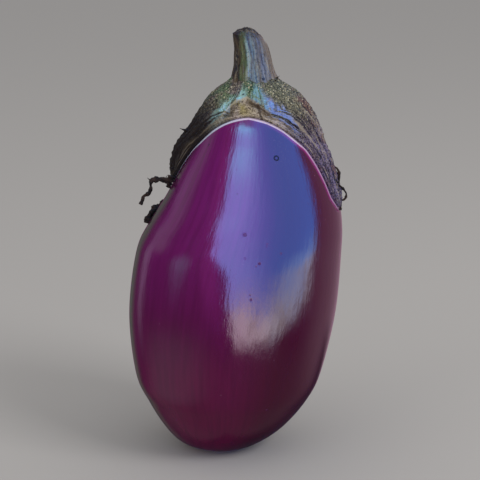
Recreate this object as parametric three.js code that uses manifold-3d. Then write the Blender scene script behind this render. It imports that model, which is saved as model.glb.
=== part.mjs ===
// A whole eggplant standing on the small flat spot at its blossom end.
// Millimetres, +Z up. The origin is the centre of the flat spot, and the front is -Y.
// Azimuths are degrees about +Z: 0 is the front, and positive turns toward +X.

import * as THREE from "three";
import { mergeVertices } from "three/addons/utils/BufferGeometryUtils.js";
import Module from "manifold-3d";

const wasm = await Module();
wasm.setup();

// Fruit: radius, sideways place of the centre and height of each station, from the flat spot up
const SPOT_RADIUS = 13;
const FRUIT_HEIGHT = 173;
const STATIONS = [
  [SPOT_RADIUS, 0, 0],
  [22, -0.6, 4.2],
  [30.6, 1.5, 12.5],
  [38.8, 3.1, 25],
  [45.3, 3.2, 39],
  [50, 4.8, 68],
  [49.1, 7.9, 98],
  [46.1, 11.2, 112],
  [41.1, 14.4, 125],
  [34.6, 15.8, 140],
  [28.2, 16.2, 152],
  [22.5, 16.1, 162],
  [13.5, 16, 169.5],
  [0, 16, FRUIT_HEIGHT],
];
const FRONT_TO_BACK = 0.985;
const FRUIT_COLUMNS = 56;
const FRUIT_ROWS = 30;
const SPOT_ROWS = 2;
// Within this reach of the top, what lies on the skin lifts straight up
const TOP_REACH = 10;

// Calyx: reach is measured along the skin from the top of the fruit
const GAP = 0.4;
const MARGIN_THICKNESS = 1;
const ARCH_REACH = 20.4;
const WEB_REACH = 28.3;
const WEB_WIDTH = 33.6;
const STRAP_REACH = 17;
const STRAP_EDGE = 7;
const TIP_REACH = 6;
const TIP_EDGE = 4;
const TORN_DEPTH = 0.5;
const TURN_START = 40;
const TURN_LENGTH = 28;
const CROWN_HEIGHT = 9;
const CROWN_FALL = 30;
const CROWN_POWER = 1.6;
const CROWN_REACH = 8;
const CROWN_BLEND = 7;
const KEEL_HEIGHT = 0.5;
const KEEL_WIDTH = 5;
const MARGIN_RISE = 5;
const CALYX_COLUMNS = 96;
const CROWN_ROWS = 2;
const OUTER_ROWS = 20;
const INNER_ROWS = 12;

// Sepals: azimuth, half width in degrees, extra reach, and how far the tip turns aside
const SEPALS = [
  { azimuth: -103.5, half: 19.3, extra: -12, turn: 22 },
  { azimuth: 84, half: 21, extra: -1, turn: -7 },
  { azimuth: 130, half: 13, extra: -1.7, turn: 6 },
  { azimuth: 172, half: 14, extra: 1.3, turn: -4 },
  { azimuth: -146, half: 13, extra: 2.3, turn: 16 },
];
// The wide arch at the front is thinner, and rises more gently from its margin
const FRONT = { azimuth: -8, width: 38, slim: 3, rise: 8 };
// A crest runs over the front arch, and peaks below the stem
const CREST = { azimuth: -12, width: 15, low: 2.6, peak: 4.6, height: 1, sharp: 1.2 };
// The left sepal has dried and bowed away from the skin
const BOWED = { azimuth: -98, width: 22, reach: 45, length: 9, lift: 4.2 };
// Prickles: azimuth, reach, length
const PRICKLE_RADIUS = 0.8;
const PRICKLES = [
  [-84, 40, 2.6],
  [72, 11, 2.2],
  [-97, 54, 2.4],
  [118, 30, 2.2],
  [-150, 36, 2.4],
  [176, 44, 2.0],
];

// Stem: radius, sideways place of the centre and height, from the crown up
const CROWN_Z = 182.3;
const STEM_STATIONS = [
  [10.3, 15.1, CROWN_Z + GAP],
  [9.1, 14.8, 187],
  [8.5, 14.3, 191.6],
  [8.05, 14, 195],
  [7.75, 13.3, 198.7],
  [7.4, 12.7, 201.5],
];
const STEM_TOP = 204.4;
const STEM_COLUMNS = 32;
const STEM_ROWS = 12;
const CUT_ROWS = 4;
const FLUTE_DEPTH = 0.035;
// The cut slants down to the right and lifts a little at the left
const CUT_FALL = 3.2;
const CUT_LIFT = 0.4;

// Dried sepal ends that stand free: radius, root as azimuth, reach and lift, and points to the end
const LEFT_ROOT = [-91, 63, 1.7];
const RIGHT_ROOT = [77, 74, 1.9];
const STRANDS = {
  dry_tip_left: [
    {
      radius: 1.5,
      root: LEFT_ROOT,
      points: [
        [-26.6, -1.4, 132.6],
        [-29.2, -2, 133.6],
        [-32.2, -2.5, 133.4],
        [-33.4, -2.7, 132],
        [-33.4, -2.7, 130],
        [-33.8, -2.6, 128],
        [-35.2, -2.6, 126.3],
        [-36.6, -2.8, 124.6],
        [-38.3, -3.4, 121.4],
      ],
    },
  ],
  dry_tip_right: [
    {
      radius: 1,
      root: RIGHT_ROOT,
      points: [
        [58.9, -6.2, 128],
        [58.2, -4.4, 133],
        [56, -3, 137.4],
      ],
    },
    {
      radius: 1,
      root: RIGHT_ROOT,
      points: [
        [58.6, -7.4, 126],
        [60.4, -6.6, 125.4],
        [61.2, -6, 122.8],
        [59.8, -5.8, 120.8],
        [58, -6.4, 121.4],
      ],
    },
    {
      radius: 1,
      root: RIGHT_ROOT,
      points: [
        [58.2, -9.4, 121],
        [59.4, -10, 118.6],
        [60.4, -10.4, 116.4],
      ],
    },
  ],
};
// Dried ends that lie along the skin: radius, and azimuth, reach and lift from the root to the end
const CURLS = {
  dry_tip_back_left: {
    radius: 1.7,
    places: [
      [-121, 76, 1.8],
      [-114, 79.5, 2.2],
      [-107, 79, 2.7],
      [-101, 78, 2.9],
      [-97.5, 80, 2.6],
      [-97, 83.5, 2.2],
    ],
  },
  dry_tip_back: {
    radius: 1.3,
    places: [[166.5, 75.4, 1.8], [162, 80, 3.8], [166, 85, 3.4], [171, 87, 1.9]],
  },
  dry_tip_back_right: {
    radius: 1.3,
    places: [[136.6, 72.4, 1.8], [141, 77, 3.6], [138, 83, 2.4], [134, 85, 1.9]],
  },
};
const STRAND_SIDES = 6;
const STRAND_STEPS = 16;
const STRAND_END = 0.4;
const KNOT_DEPTH = 0.16;
const KNOT_WAVES = 21;

const SKIN = new THREE.MeshStandardMaterial({ color: 0x5c1e59, roughness: 0.16, metalness: 0 });
const WOODY_GREEN = new THREE.MeshStandardMaterial({ color: 0x66685c, roughness: 0.7, metalness: 0 });
const STALK = new THREE.MeshStandardMaterial({ color: 0x6a776c, roughness: 0.6, metalness: 0 });
const DRIED = new THREE.MeshStandardMaterial({ color: 0x352c2f, roughness: 0.85, metalness: 0 });

const { clamp, smoothstep, lerp, degToRad } = THREE.MathUtils;

// A bell of height 1 at distance 0
function bell(distance, width) {
  return Math.exp(-0.5 * (distance / width) ** 2);
}

// Degrees between two azimuths, from -180 to 180
function apart(a, b) {
  return THREE.MathUtils.euclideanModulo(a - b + 180, 360) - 180;
}

// The fruit's meridian, and a stem's middle line, as smooth curves of radius, sideways place and height
function stationCurve(stations) {
  const points = stations.map((station) => new THREE.Vector3(...station));
  return new THREE.CatmullRomCurve3(points, false, "catmullrom", 0.5);
}

const meridian = stationCurve(STATIONS);
const MERIDIAN_LENGTH = meridian.getLength();
const stemLine = stationCurve(STEM_STATIONS);

// Soft lobes keep the fruit from being perfectly round
function girth(azimuth) {
  const angle = degToRad(azimuth);
  return 1 + 0.004 * Math.sin(5 * angle + 0.6) + 0.003 * Math.sin(3 * angle + 2);
}

// The point at an azimuth and a reach down from the top of the fruit, lifted off the skin
function skinPoint(azimuth, reach, lift) {
  const along = clamp(1 - reach / MERIDIAN_LENGTH, 0, 1);
  const place = meridian.getPointAt(along);
  const slope = meridian.getTangentAt(along);
  const tilt = Math.hypot(slope.x, slope.z);
  const outward = (slope.z / tilt) * clamp(reach / TOP_REACH, 0, 1);
  const upward = -slope.x / tilt;
  const radius = place.x * girth(azimuth) + lift * outward;
  const angle = degToRad(azimuth);
  return new THREE.Vector3(
    place.y + radius * Math.sin(angle),
    -radius * FRONT_TO_BACK * Math.cos(angle),
    place.z + lift * upward,
  );
}

// A closed skin of columns round the axis and rows from the top pole to the bottom pole
function closedNet(columns, rows, pointAt) {
  const net = new THREE.SphereGeometry(1, columns, rows);
  const place = net.getAttribute("position");
  const uv = net.getAttribute("uv");
  for (let i = 0; i < place.count; i++) {
    const row = Math.round((1 - uv.getY(i)) * rows);
    const point = pointAt(360 * uv.getX(i) - 180, row);
    place.setXYZ(i, point.x, point.y, point.z);
  }
  return net;
}

// The fruit, from its top down to the flat spot
function fruitGeometry() {
  return closedNet(FRUIT_COLUMNS, FRUIT_ROWS, (azimuth, row) => {
    const sideRows = FRUIT_ROWS - SPOT_ROWS;
    if (row <= sideRows) {
      return skinPoint(azimuth, (MERIDIAN_LENGTH * row) / sideRows, 0);
    }
    const rim = skinPoint(azimuth, MERIDIAN_LENGTH, 0);
    return rim.multiplyScalar((FRUIT_ROWS - row) / SPOT_ROWS).setZ(0);
  });
}

// The strap that a sepal adds to the margin, and the wider web between its neighbours
function strap(sepal, azimuth) {
  const away = Math.abs(apart(azimuth, sepal.azimuth));
  const blade = 1 - smoothstep(away, sepal.half - STRAP_EDGE, sepal.half + STRAP_EDGE);
  const point = Math.max(0, 1 - away / (sepal.half - TIP_EDGE));
  return blade * (STRAP_REACH + sepal.extra) + point * TIP_REACH;
}

// 1 at the middle of the front arch, falling to both sides
function frontShare(azimuth) {
  return bell(apart(azimuth, FRONT.azimuth), FRONT.width);
}

// How far the margin reaches down the skin at an azimuth
function marginReach(azimuth) {
  let web = 0;
  let straps = 0;
  for (const sepal of SEPALS) {
    web = Math.max(web, bell(apart(azimuth, sepal.azimuth), WEB_WIDTH));
    straps = Math.max(straps, strap(sepal, azimuth));
  }
  const angle = degToRad(azimuth);
  const calm = 1 - 0.7 * frontShare(azimuth);
  const torn = TORN_DEPTH * calm * (Math.sin(9 * angle + 1) + 0.7 * Math.sin(17 * angle));
  return ARCH_REACH + WEB_REACH * web + straps + torn;
}

// How far a sepal's tip turns aside, in degrees
function tipTurn(azimuth, reach) {
  const down = Math.max(0, (reach - TURN_START) / TURN_LENGTH) ** 2;
  let turn = 0;
  for (const sepal of SEPALS) {
    turn += sepal.turn * bell(apart(azimuth, sepal.azimuth), sepal.half) * down;
  }
  return turn;
}

// The calyx's thickness over the skin, thin at the margin and thick on the shoulders
function calyxThickness(azimuth, reach) {
  const edge = marginReach(azimuth) - reach;
  const front = frontShare(azimuth);
  const crown = CROWN_HEIGHT * Math.exp(-((reach / CROWN_FALL) ** CROWN_POWER));
  let keel = 0;
  for (const sepal of SEPALS) {
    keel = Math.max(keel, bell(apart(azimuth, sepal.azimuth), KEEL_WIDTH));
  }
  const bowed = BOWED.lift * bell(apart(azimuth, BOWED.azimuth), BOWED.width)
    * bell(reach - BOWED.reach, BOWED.length);
  const slim = FRONT.slim * front * smoothstep(reach, 6, 12);
  const body = MARGIN_THICKNESS + crown - slim + bowed + KEEL_HEIGHT * keel;
  const taper = smoothstep(edge, -1, lerp(MARGIN_RISE, FRONT.rise, front));
  const crestEdge = CREST.low + CREST.peak * bell(apart(azimuth, CREST.azimuth), CREST.width);
  const crest = CREST.height * front * bell(edge - crestEdge, CREST.sharp);
  return MARGIN_THICKNESS + (body - MARGIN_THICKNESS) * taper + crest;
}

// The stem's radius at an azimuth, with its flutes
function fluted(radius, azimuth) {
  const angle = degToRad(azimuth);
  const flutes = Math.cos(7 * angle + 1.1) + 0.6 * Math.cos(4 * angle + 2.2);
  return radius * (1 + FLUTE_DEPTH * flutes);
}

// A point of the stem's outline at a place along its middle line
function stemPoint(azimuth, along, scale = 1) {
  const place = stemLine.getPoint(along);
  const angle = degToRad(azimuth);
  const radius = fluted(place.x, azimuth) * scale;
  return new THREE.Vector3(place.y + radius * Math.sin(angle), -radius * Math.cos(angle), place.z);
}

// The calyx's outer face: from the crown under the stem, out and down to the margin
function calyxOuter(azimuth, reach) {
  const lift = GAP + calyxThickness(azimuth, reach);
  const point = skinPoint(azimuth + tipTurn(azimuth, reach), reach, lift);
  const crown = stemPoint(azimuth, 0).setZ(CROWN_Z);
  const start = CROWN_REACH - 1;
  return crown.lerp(point, smoothstep(reach, start, start + CROWN_BLEND));
}

// The calyx: crown, outer face, margin and the inner face that lies along the skin
function calyxGeometry() {
  const outerEnd = CROWN_ROWS + OUTER_ROWS;
  return closedNet(CALYX_COLUMNS, outerEnd + 1 + INNER_ROWS, (azimuth, row) => {
    if (row < CROWN_ROWS) {
      return stemPoint(azimuth, 0, row / CROWN_ROWS).setZ(CROWN_Z);
    }
    const margin = marginReach(azimuth);
    if (row <= outerEnd) {
      return calyxOuter(azimuth, lerp(CROWN_REACH - 1, margin, (row - CROWN_ROWS) / OUTER_ROWS));
    }
    const reach = (margin * (outerEnd + 1 + INNER_ROWS - row)) / INNER_ROWS;
    return skinPoint(azimuth + tipTurn(azimuth, reach), reach, GAP);
  });
}

// The stem: the worn cut at the top, the fluted side and the flat foot on the crown
function stemGeometry() {
  return closedNet(STEM_COLUMNS, CUT_ROWS + STEM_ROWS + 1, (azimuth, row) => {
    const shoulder = Math.sin(degToRad(azimuth));
    const rimDrop = (shoulder > 0 ? CUT_FALL : -CUT_LIFT) * shoulder ** 2;
    if (row <= CUT_ROWS) {
      const out = Math.sin((row / CUT_ROWS) * Math.PI * 0.5);
      const rim = stemPoint(azimuth, 1, out);
      return rim.setZ(lerp(rim.z - rimDrop, STEM_TOP, 1 - out ** 2));
    }
    const along = 1 - (row - CUT_ROWS) / STEM_ROWS;
    if (along < 0) {
      return stemPoint(azimuth, 0, 0);
    }
    const side = stemPoint(azimuth, along);
    return side.setZ(side.z - rimDrop * along ** 3);
  });
}

// A tapering strand along a smooth line
function strandGeometry(points, radius) {
  const line = new THREE.CatmullRomCurve3(points);
  const frames = line.computeFrenetFrames(STRAND_STEPS, false);
  const tube = new THREE.CylinderGeometry(1, 1, 1, STRAND_SIDES, STRAND_STEPS);
  const place = tube.getAttribute("position");
  for (let i = 0; i < place.count; i++) {
    const step = Math.round((0.5 - place.getY(i)) * STRAND_STEPS);
    const along = step / STRAND_STEPS;
    const knots = 1 + KNOT_DEPTH * Math.sin(KNOT_WAVES * along);
    const thick = radius * lerp(1, STRAND_END, along) * knots;
    const point = line.getPointAt(along);
    point.addScaledVector(frames.normals[step], place.getX(i) * thick);
    point.addScaledVector(frames.binormals[step], place.getZ(i) * thick);
    place.setXYZ(i, point.x, point.y, point.z);
  }
  return tube;
}

// A closed geometry as a solid that can be joined, and back
function solidOf(geometry) {
  const bare = geometry.clone();
  bare.deleteAttribute("normal");
  bare.deleteAttribute("uv");
  const merged = mergeVertices(bare, 1e-3);
  const mesh = new wasm.Mesh({
    numProp: 3,
    vertProperties: new Float32Array(merged.getAttribute("position").array),
    triVerts: new Uint32Array(merged.index.array),
  });
  return new wasm.Manifold(mesh);
}

function geometryOf(solid) {
  const mesh = solid.getMesh();
  const geometry = new THREE.BufferGeometry();
  geometry.setAttribute("position", new THREE.BufferAttribute(mesh.vertProperties, 3));
  geometry.setIndex(new THREE.BufferAttribute(mesh.triVerts, 1));
  geometry.computeVertexNormals();
  return geometry;
}

// A small cone standing on the calyx, its root sunk in
function prickleGeometry([azimuth, reach, length]) {
  const root = calyxOuter(azimuth, reach);
  const inner = skinPoint(azimuth + tipTurn(azimuth, reach), reach, 0);
  const outward = root.clone().sub(inner).normalize();
  const cone = new THREE.ConeGeometry(PRICKLE_RADIUS, length + 1, 5);
  const turn = new THREE.Quaternion().setFromUnitVectors(new THREE.Vector3(0, 1, 0), outward);
  cone.applyQuaternion(turn);
  const middle = root.addScaledVector(outward, (length - 1) / 2);
  return cone.translate(middle.x, middle.y, middle.z);
}

// Geometries joined into one body
function joined(geometries) {
  const whole = geometries.map(solidOf).reduce((body, next) => body.add(next));
  return geometryOf(whole);
}

const eggplant = new THREE.Group();
eggplant.name = "eggplant";

function addPiece(name, geometry, material) {
  const piece = new THREE.Mesh(geometry, material.clone());
  piece.name = name;
  eggplant.add(piece);
}

addPiece("fruit", fruitGeometry(), SKIN);
addPiece("calyx", joined([calyxGeometry(), ...PRICKLES.map(prickleGeometry)]), WOODY_GREEN);
addPiece("stem", stemGeometry(), STALK);

for (const [name, strands] of Object.entries(STRANDS)) {
  const parts = strands.map(({ radius, root, points }) => {
    const line = points.map((point) => new THREE.Vector3(...point));
    return strandGeometry([skinPoint(...root), ...line], radius);
  });
  addPiece(name, joined(parts), DRIED);
}
for (const [name, curl] of Object.entries(CURLS)) {
  const points = curl.places.map((place) => skinPoint(...place));
  addPiece(name, strandGeometry(points, curl.radius), DRIED);
}

export default eggplant;
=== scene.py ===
"""A whole globe eggplant on its flat spot: glossy purple fruit, woody calyx, fluted stem and dried sepal ends.

Lengths in the shape formulas are millimetres, and MM turns them into metres for Blender.
Azimuths are degrees about +Z: 0 is the front (-Y), and positive turns toward +X.
Reach is the distance along the skin from the top of the fruit.
"""

import logging
import math
from dataclasses import dataclass
from enum import Enum

import bpy
import numpy as np
from mathutils import Euler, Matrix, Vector, kdtree


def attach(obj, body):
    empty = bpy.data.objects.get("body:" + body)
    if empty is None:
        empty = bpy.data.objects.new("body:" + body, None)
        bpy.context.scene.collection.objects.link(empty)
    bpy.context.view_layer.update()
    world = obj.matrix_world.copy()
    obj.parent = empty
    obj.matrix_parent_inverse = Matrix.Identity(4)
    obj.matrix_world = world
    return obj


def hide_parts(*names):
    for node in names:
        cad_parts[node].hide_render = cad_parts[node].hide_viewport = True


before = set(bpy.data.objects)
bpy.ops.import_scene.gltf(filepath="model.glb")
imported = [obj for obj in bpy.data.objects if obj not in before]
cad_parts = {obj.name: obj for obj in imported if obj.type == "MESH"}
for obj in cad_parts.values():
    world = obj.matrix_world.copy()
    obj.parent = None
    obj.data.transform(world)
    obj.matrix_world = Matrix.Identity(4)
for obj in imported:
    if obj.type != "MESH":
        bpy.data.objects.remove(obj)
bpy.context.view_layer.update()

MM = 0.001
DEGREES = 57.2958
FAR = 20.0
log = logging.getLogger("eggplant")

Array = np.ndarray
Piece = bpy.types.Object
Colour = Point = tuple[float, float, float]
Socket = bpy.types.NodeSocket


def bell(distance: Array, width: float) -> Array:
    """Bell of height 1 at distance 0."""
    return np.exp(-0.5 * (distance / width) ** 2)


def apart(a: Array, b: float) -> Array:
    """Degrees between two azimuths, from -180 to 180."""
    return (a - b + 180.0) % 360.0 - 180.0


def smooth(value: Array, low: float, high: float) -> Array:
    """Smooth step from 0 at low to 1 at high."""
    share = np.clip((value - low) / (high - low), 0.0, 1.0)
    return share * share * (3.0 - 2.0 * share)


def mix(a: Array, b: Array, share: Array) -> Array:
    """Straight blend from a to b."""
    return a + (b - a) * share


def curve_samples(stations: list[tuple[float, ...]], steps: int) -> Array:
    """Samples a Catmull-Rom curve through stations.

    Args:
        stations: the points that the curve passes, each with the same number of coordinates.
        steps: how many samples to take between two stations.

    Returns:
        One row of coordinates for each sample, from the first station to the last.
    """
    points = np.array(stations, float)
    points = np.vstack([2 * points[0] - points[1], points, 2 * points[-1] - points[-2]])
    t = np.linspace(0.0, 1.0, steps, endpoint=False)[:, None]
    pieces = []
    for i in range(1, len(points) - 2):
        p0, p1, p2, p3 = points[i - 1 : i + 3]
        linear = (p2 - p0) * t
        square = (2 * p0 - 5 * p1 + 4 * p2 - p3) * t**2
        cube = (3 * p1 - p0 - 3 * p2 + p3) * t**3
        pieces.append(0.5 * (2 * p1 + linear + square + cube))
    pieces.append(points[-2][None])
    return np.vstack(pieces)


@dataclass(frozen=True)
class Ripples:
    """Sum of sine waves with seeded phases, a smooth field without any grid.

    Attributes:
        seed: seed of the random draw.
        low: lowest number of waves in one unit of each coordinate.
        high: highest number of waves.
        count: how many waves are added.
    """

    seed: int
    low: float
    high: float
    count: int = 24

    def at(self, places: Array) -> Array:
        """Field values, about -1 to 1.

        Args:
            places: coordinates, with the last axis holding the components.

        Returns:
            One value for each place.
        """
        draw = np.random.default_rng(self.seed)
        total = np.zeros(places.shape[:-1])
        for _ in range(self.count):
            way = draw.normal(size=places.shape[-1])
            way /= np.linalg.norm(way)
            waves = draw.uniform(self.low, self.high)
            total += np.sin(2 * math.pi * waves * (places @ way) + draw.uniform(0, 2 * math.pi))
        return total / math.sqrt(self.count)


@dataclass(frozen=True)
class Ramp:
    """A smooth change: from start at low to end at high. A low above high makes it fall."""

    low: float
    high: float
    start: float = 0.0
    end: float = 1.0


@dataclass(frozen=True)
class Noise:
    """A noise texture: how fine it is, how many layers it has, and how strong the finer ones are."""

    scale: float | Socket
    layers: float = 3.0
    rough: float = 0.55


@dataclass(frozen=True)
class Bumps:
    """How strongly a pattern bumps a surface, and how high in metres."""

    strength: float
    distance: float


class Tree:
    """Makes nodes and links in one node tree."""

    def __init__(self, tree: bpy.types.NodeTree) -> None:
        """Keeps the tree, emptied."""
        self.tree = tree
        tree.nodes.clear()

    def add(self, kind: str, inputs: dict | None = None, **settings: object) -> bpy.types.Node:
        """Adds a node.

        Args:
            kind: the node's type name, without the ShaderNode prefix where it has one.
            inputs: socket name or index to a value or a socket.
            settings: the node's own properties.

        Returns:
            The new node.
        """
        node = self.tree.nodes.new(kind if kind.startswith("Node") else "ShaderNode" + kind)
        for name, value in settings.items():
            setattr(node, name, value)
        for key, value in (inputs or {}).items():
            self.feed(node.inputs[key], value)
        return node

    def feed(self, socket: Socket, value: object) -> None:
        """Links a socket to value, or sets it where value is a number or a colour.

        Args:
            socket: the input socket.
            value: a socket, a number, or the numbers of a vector or a colour.
        """
        if isinstance(value, Socket):
            self.tree.links.new(value, socket)
        elif isinstance(value, tuple) and socket.type == "RGBA" and len(value) == 3:
            socket.default_value = (*value, 1.0)
        else:
            socket.default_value = value

    def math(self, operation: str, a: object, b: object = 0.0, c: object = 0.0) -> Socket:
        """Result of a Math node."""
        return self.add("Math", {0: a, 1: b, 2: c}, operation=operation).outputs[0]

    def plus(self, a: object, b: object) -> Socket:
        """Sum of two values."""
        return self.math("ADD", a, b)

    def minus(self, a: object, b: object) -> Socket:
        """Difference of two values."""
        return self.math("SUBTRACT", a, b)

    def times(self, first: object, *others: object) -> Socket:
        """Product of values."""
        for other in others:
            first = self.math("MULTIPLY", first, other)
        return first

    def larger(self, a: object, b: object) -> Socket:
        """The larger of two values."""
        return self.math("MAXIMUM", a, b)

    def apart(self, a: object, b: object) -> Socket:
        """Distance between two values."""
        return self.math("ABSOLUTE", self.minus(a, b))

    def scaled(self, way: object, factors: Point) -> Socket:
        """A vector with each of its parts multiplied."""
        return self.vector("MULTIPLY", way, factors).outputs[0]

    def vector(self, operation: str, a: object, b: object = (0.0, 0.0, 0.0)) -> bpy.types.Node:
        """Vector Math node."""
        return self.add("VectorMath", {0: a, 1: b}, operation=operation)

    def step(self, value: object, ramp: Ramp) -> Socket:
        """Smooth step of value along a ramp."""
        ends = {"From Min": ramp.low, "From Max": ramp.high, "To Min": ramp.start, "To Max": ramp.end}
        node = self.add("MapRange", {"Value": value, **ends}, interpolation_type="SMOOTHSTEP")
        return node.outputs["Result"]

    def blend(self, factor: object, a: object, b: object) -> Socket:
        """Colour mix.

        Args:
            factor: 0 for a and 1 for b.
            a: a colour.
            b: another colour.

        Returns:
            The mixed colour.
        """
        node = self.add("Mix", data_type="RGBA")
        for index, value in ((0, factor), (6, a), (7, b)):
            self.feed(node.inputs[index], value)
        return node.outputs[2]

    def noise(self, place: object, noise: Noise) -> Socket:
        """Noise value at a place."""
        inputs = {"Vector": place, "Scale": noise.scale, "Detail": noise.layers, "Roughness": noise.rough}
        return self.add("TexNoise", inputs).outputs["Fac"]

    def azimuth(self, way: object) -> Socket:
        """Azimuth in degrees of a vector whose first two parts are its cosine and sine."""
        parts = self.add("SeparateXYZ", {0: way}).outputs
        return self.times(self.math("ARCTAN2", parts["Y"], parts["X"]), DEGREES)

    def height(self, place: object) -> Socket:
        """The height of a place."""
        return self.add("SeparateXYZ", {0: place}).outputs["Z"]

    def value_of(self, name: str) -> Socket:
        """A number kept on the mesh."""
        return self.add("Attribute", attribute_name=name).outputs["Fac"]

    def vector_of(self, name: str) -> Socket:
        """A vector kept on the mesh."""
        return self.add("Attribute", attribute_name=name).outputs["Vector"]

    def bump(self, height: object, bumps: Bumps) -> Socket:
        """The normal of a surface that is bumped by height."""
        inputs = {"Strength": bumps.strength, "Distance": bumps.distance, "Height": height}
        return self.add("Bump", inputs).outputs[0]

    def principled(
        self, colour: object, rough: object, specular: float, normal: Socket | None = None
    ) -> bpy.types.Node:
        """Adds the Principled shader and links it to the material's output.

        Args:
            colour: its base colour.
            rough: its roughness.
            specular: its specular level, the same all over.
            normal: its bumped normal, where it has one.

        Returns:
            The shader node.
        """
        shader = self.add("BsdfPrincipled", {"Base Color": colour, "Roughness": rough})
        shader.inputs["Specular IOR Level"].default_value = specular
        if normal is not None:
            self.feed(shader.inputs["Normal"], normal)
        self.feed(self.add("OutputMaterial").inputs["Surface"], shader.outputs[0])
        return shader


def new_material(name: str) -> tuple[bpy.types.Material, Tree]:
    """Starts a material.

    Args:
        name: its name.

    Returns:
        The material, and a Tree that adds nodes to it.
    """
    material = bpy.data.materials.new(name)
    material.use_nodes = True
    return material, Tree(material.node_tree)


def linear(red: int, green: int, blue: int) -> Colour:
    """Scene-linear colour of an sRGB one, each channel from 0 to 255."""
    parts = [channel / 255.0 for channel in (red, green, blue)]
    return tuple(p / 12.92 if p <= 0.04045 else ((p + 0.055) / 1.055) ** 2.4 for p in parts)


def new_group(name: str, inputs: dict[str, object], outputs: dict[str, str]) -> tuple[bpy.types.NodeTree, Tree]:
    """Starts a shader node group.

    Args:
        name: the group's name.
        inputs: input name to its default value, a number or three numbers for a vector.
        outputs: output name to its socket type, Float or Color.

    Returns:
        The group, and a Tree that adds nodes to it.
    """
    group = bpy.data.node_groups.new(name, "ShaderNodeTree")
    for key, value in inputs.items():
        kind = "NodeSocketFloat" if isinstance(value, float) else "NodeSocketVector"
        socket = group.interface.new_socket(key, in_out="INPUT", socket_type=kind)
        socket.default_value = value
    for key, kind in outputs.items():
        group.interface.new_socket(key, in_out="OUTPUT", socket_type="NodeSocket" + kind)
    return group, Tree(group)


def fibre_group() -> bpy.types.NodeTree:
    """Woody fibres that run along a grain coordinate, whose third component is the way they run.

    Returns:
        A group that puts out Fibre, from 0 in a gap to 1 on a strand, and Blotch, a slow variation.
    """
    group, tree = new_group(
        "woody_fibres",
        {"Grain": (0.0, 0.0, 0.0), "Fineness": 30.0, "Seed": 0.0},
        {"Fibre": "Float", "Blotch": "Float"},
    )
    ends = tree.add("NodeGroupInput").outputs
    drawn_out = tree.scaled(ends["Grain"], (1.0, 1.0, 0.07))
    shift = tree.add("CombineXYZ", {"Z": ends["Seed"]}).outputs[0]
    strands = tree.noise(tree.vector("ADD", drawn_out, shift).outputs[0], Noise(ends["Fineness"], 4, 0.6))
    crossing = tree.noise(ends["Grain"], Noise(5, 3, 0.6))
    out = tree.add("NodeGroupOutput")
    tree.feed(out.inputs["Fibre"], tree.step(strands, Ramp(0.36, 0.62)))
    tree.feed(out.inputs["Blotch"], tree.step(crossing, Ramp(0.38, 0.64)))
    return group


def speckle_group() -> bpy.types.NodeTree:
    """Small round specks, scattered thinly.

    Returns:
        A group that puts out Speck, 1 on a speck. Share is the part of the cells that hold one.
    """
    group, tree = new_group(
        "specks",
        {"Place": (0.0, 0.0, 0.0), "Cells": 200.0, "Size": 0.2, "Share": 0.3},
        {"Speck": "Float"},
    )
    ends = tree.add("NodeGroupInput").outputs
    cells = tree.add("TexVoronoi", {"Vector": ends["Place"], "Scale": ends["Cells"]})
    near = tree.math("LESS_THAN", cells.outputs["Distance"], ends["Size"])
    pick = tree.add("SeparateColor", {"Color": cells.outputs["Color"]}).outputs[0]
    chosen = tree.math("LESS_THAN", pick, ends["Share"])
    out = tree.add("NodeGroupOutput")
    tree.feed(out.inputs["Speck"], tree.times(near, chosen))
    return group


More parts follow.
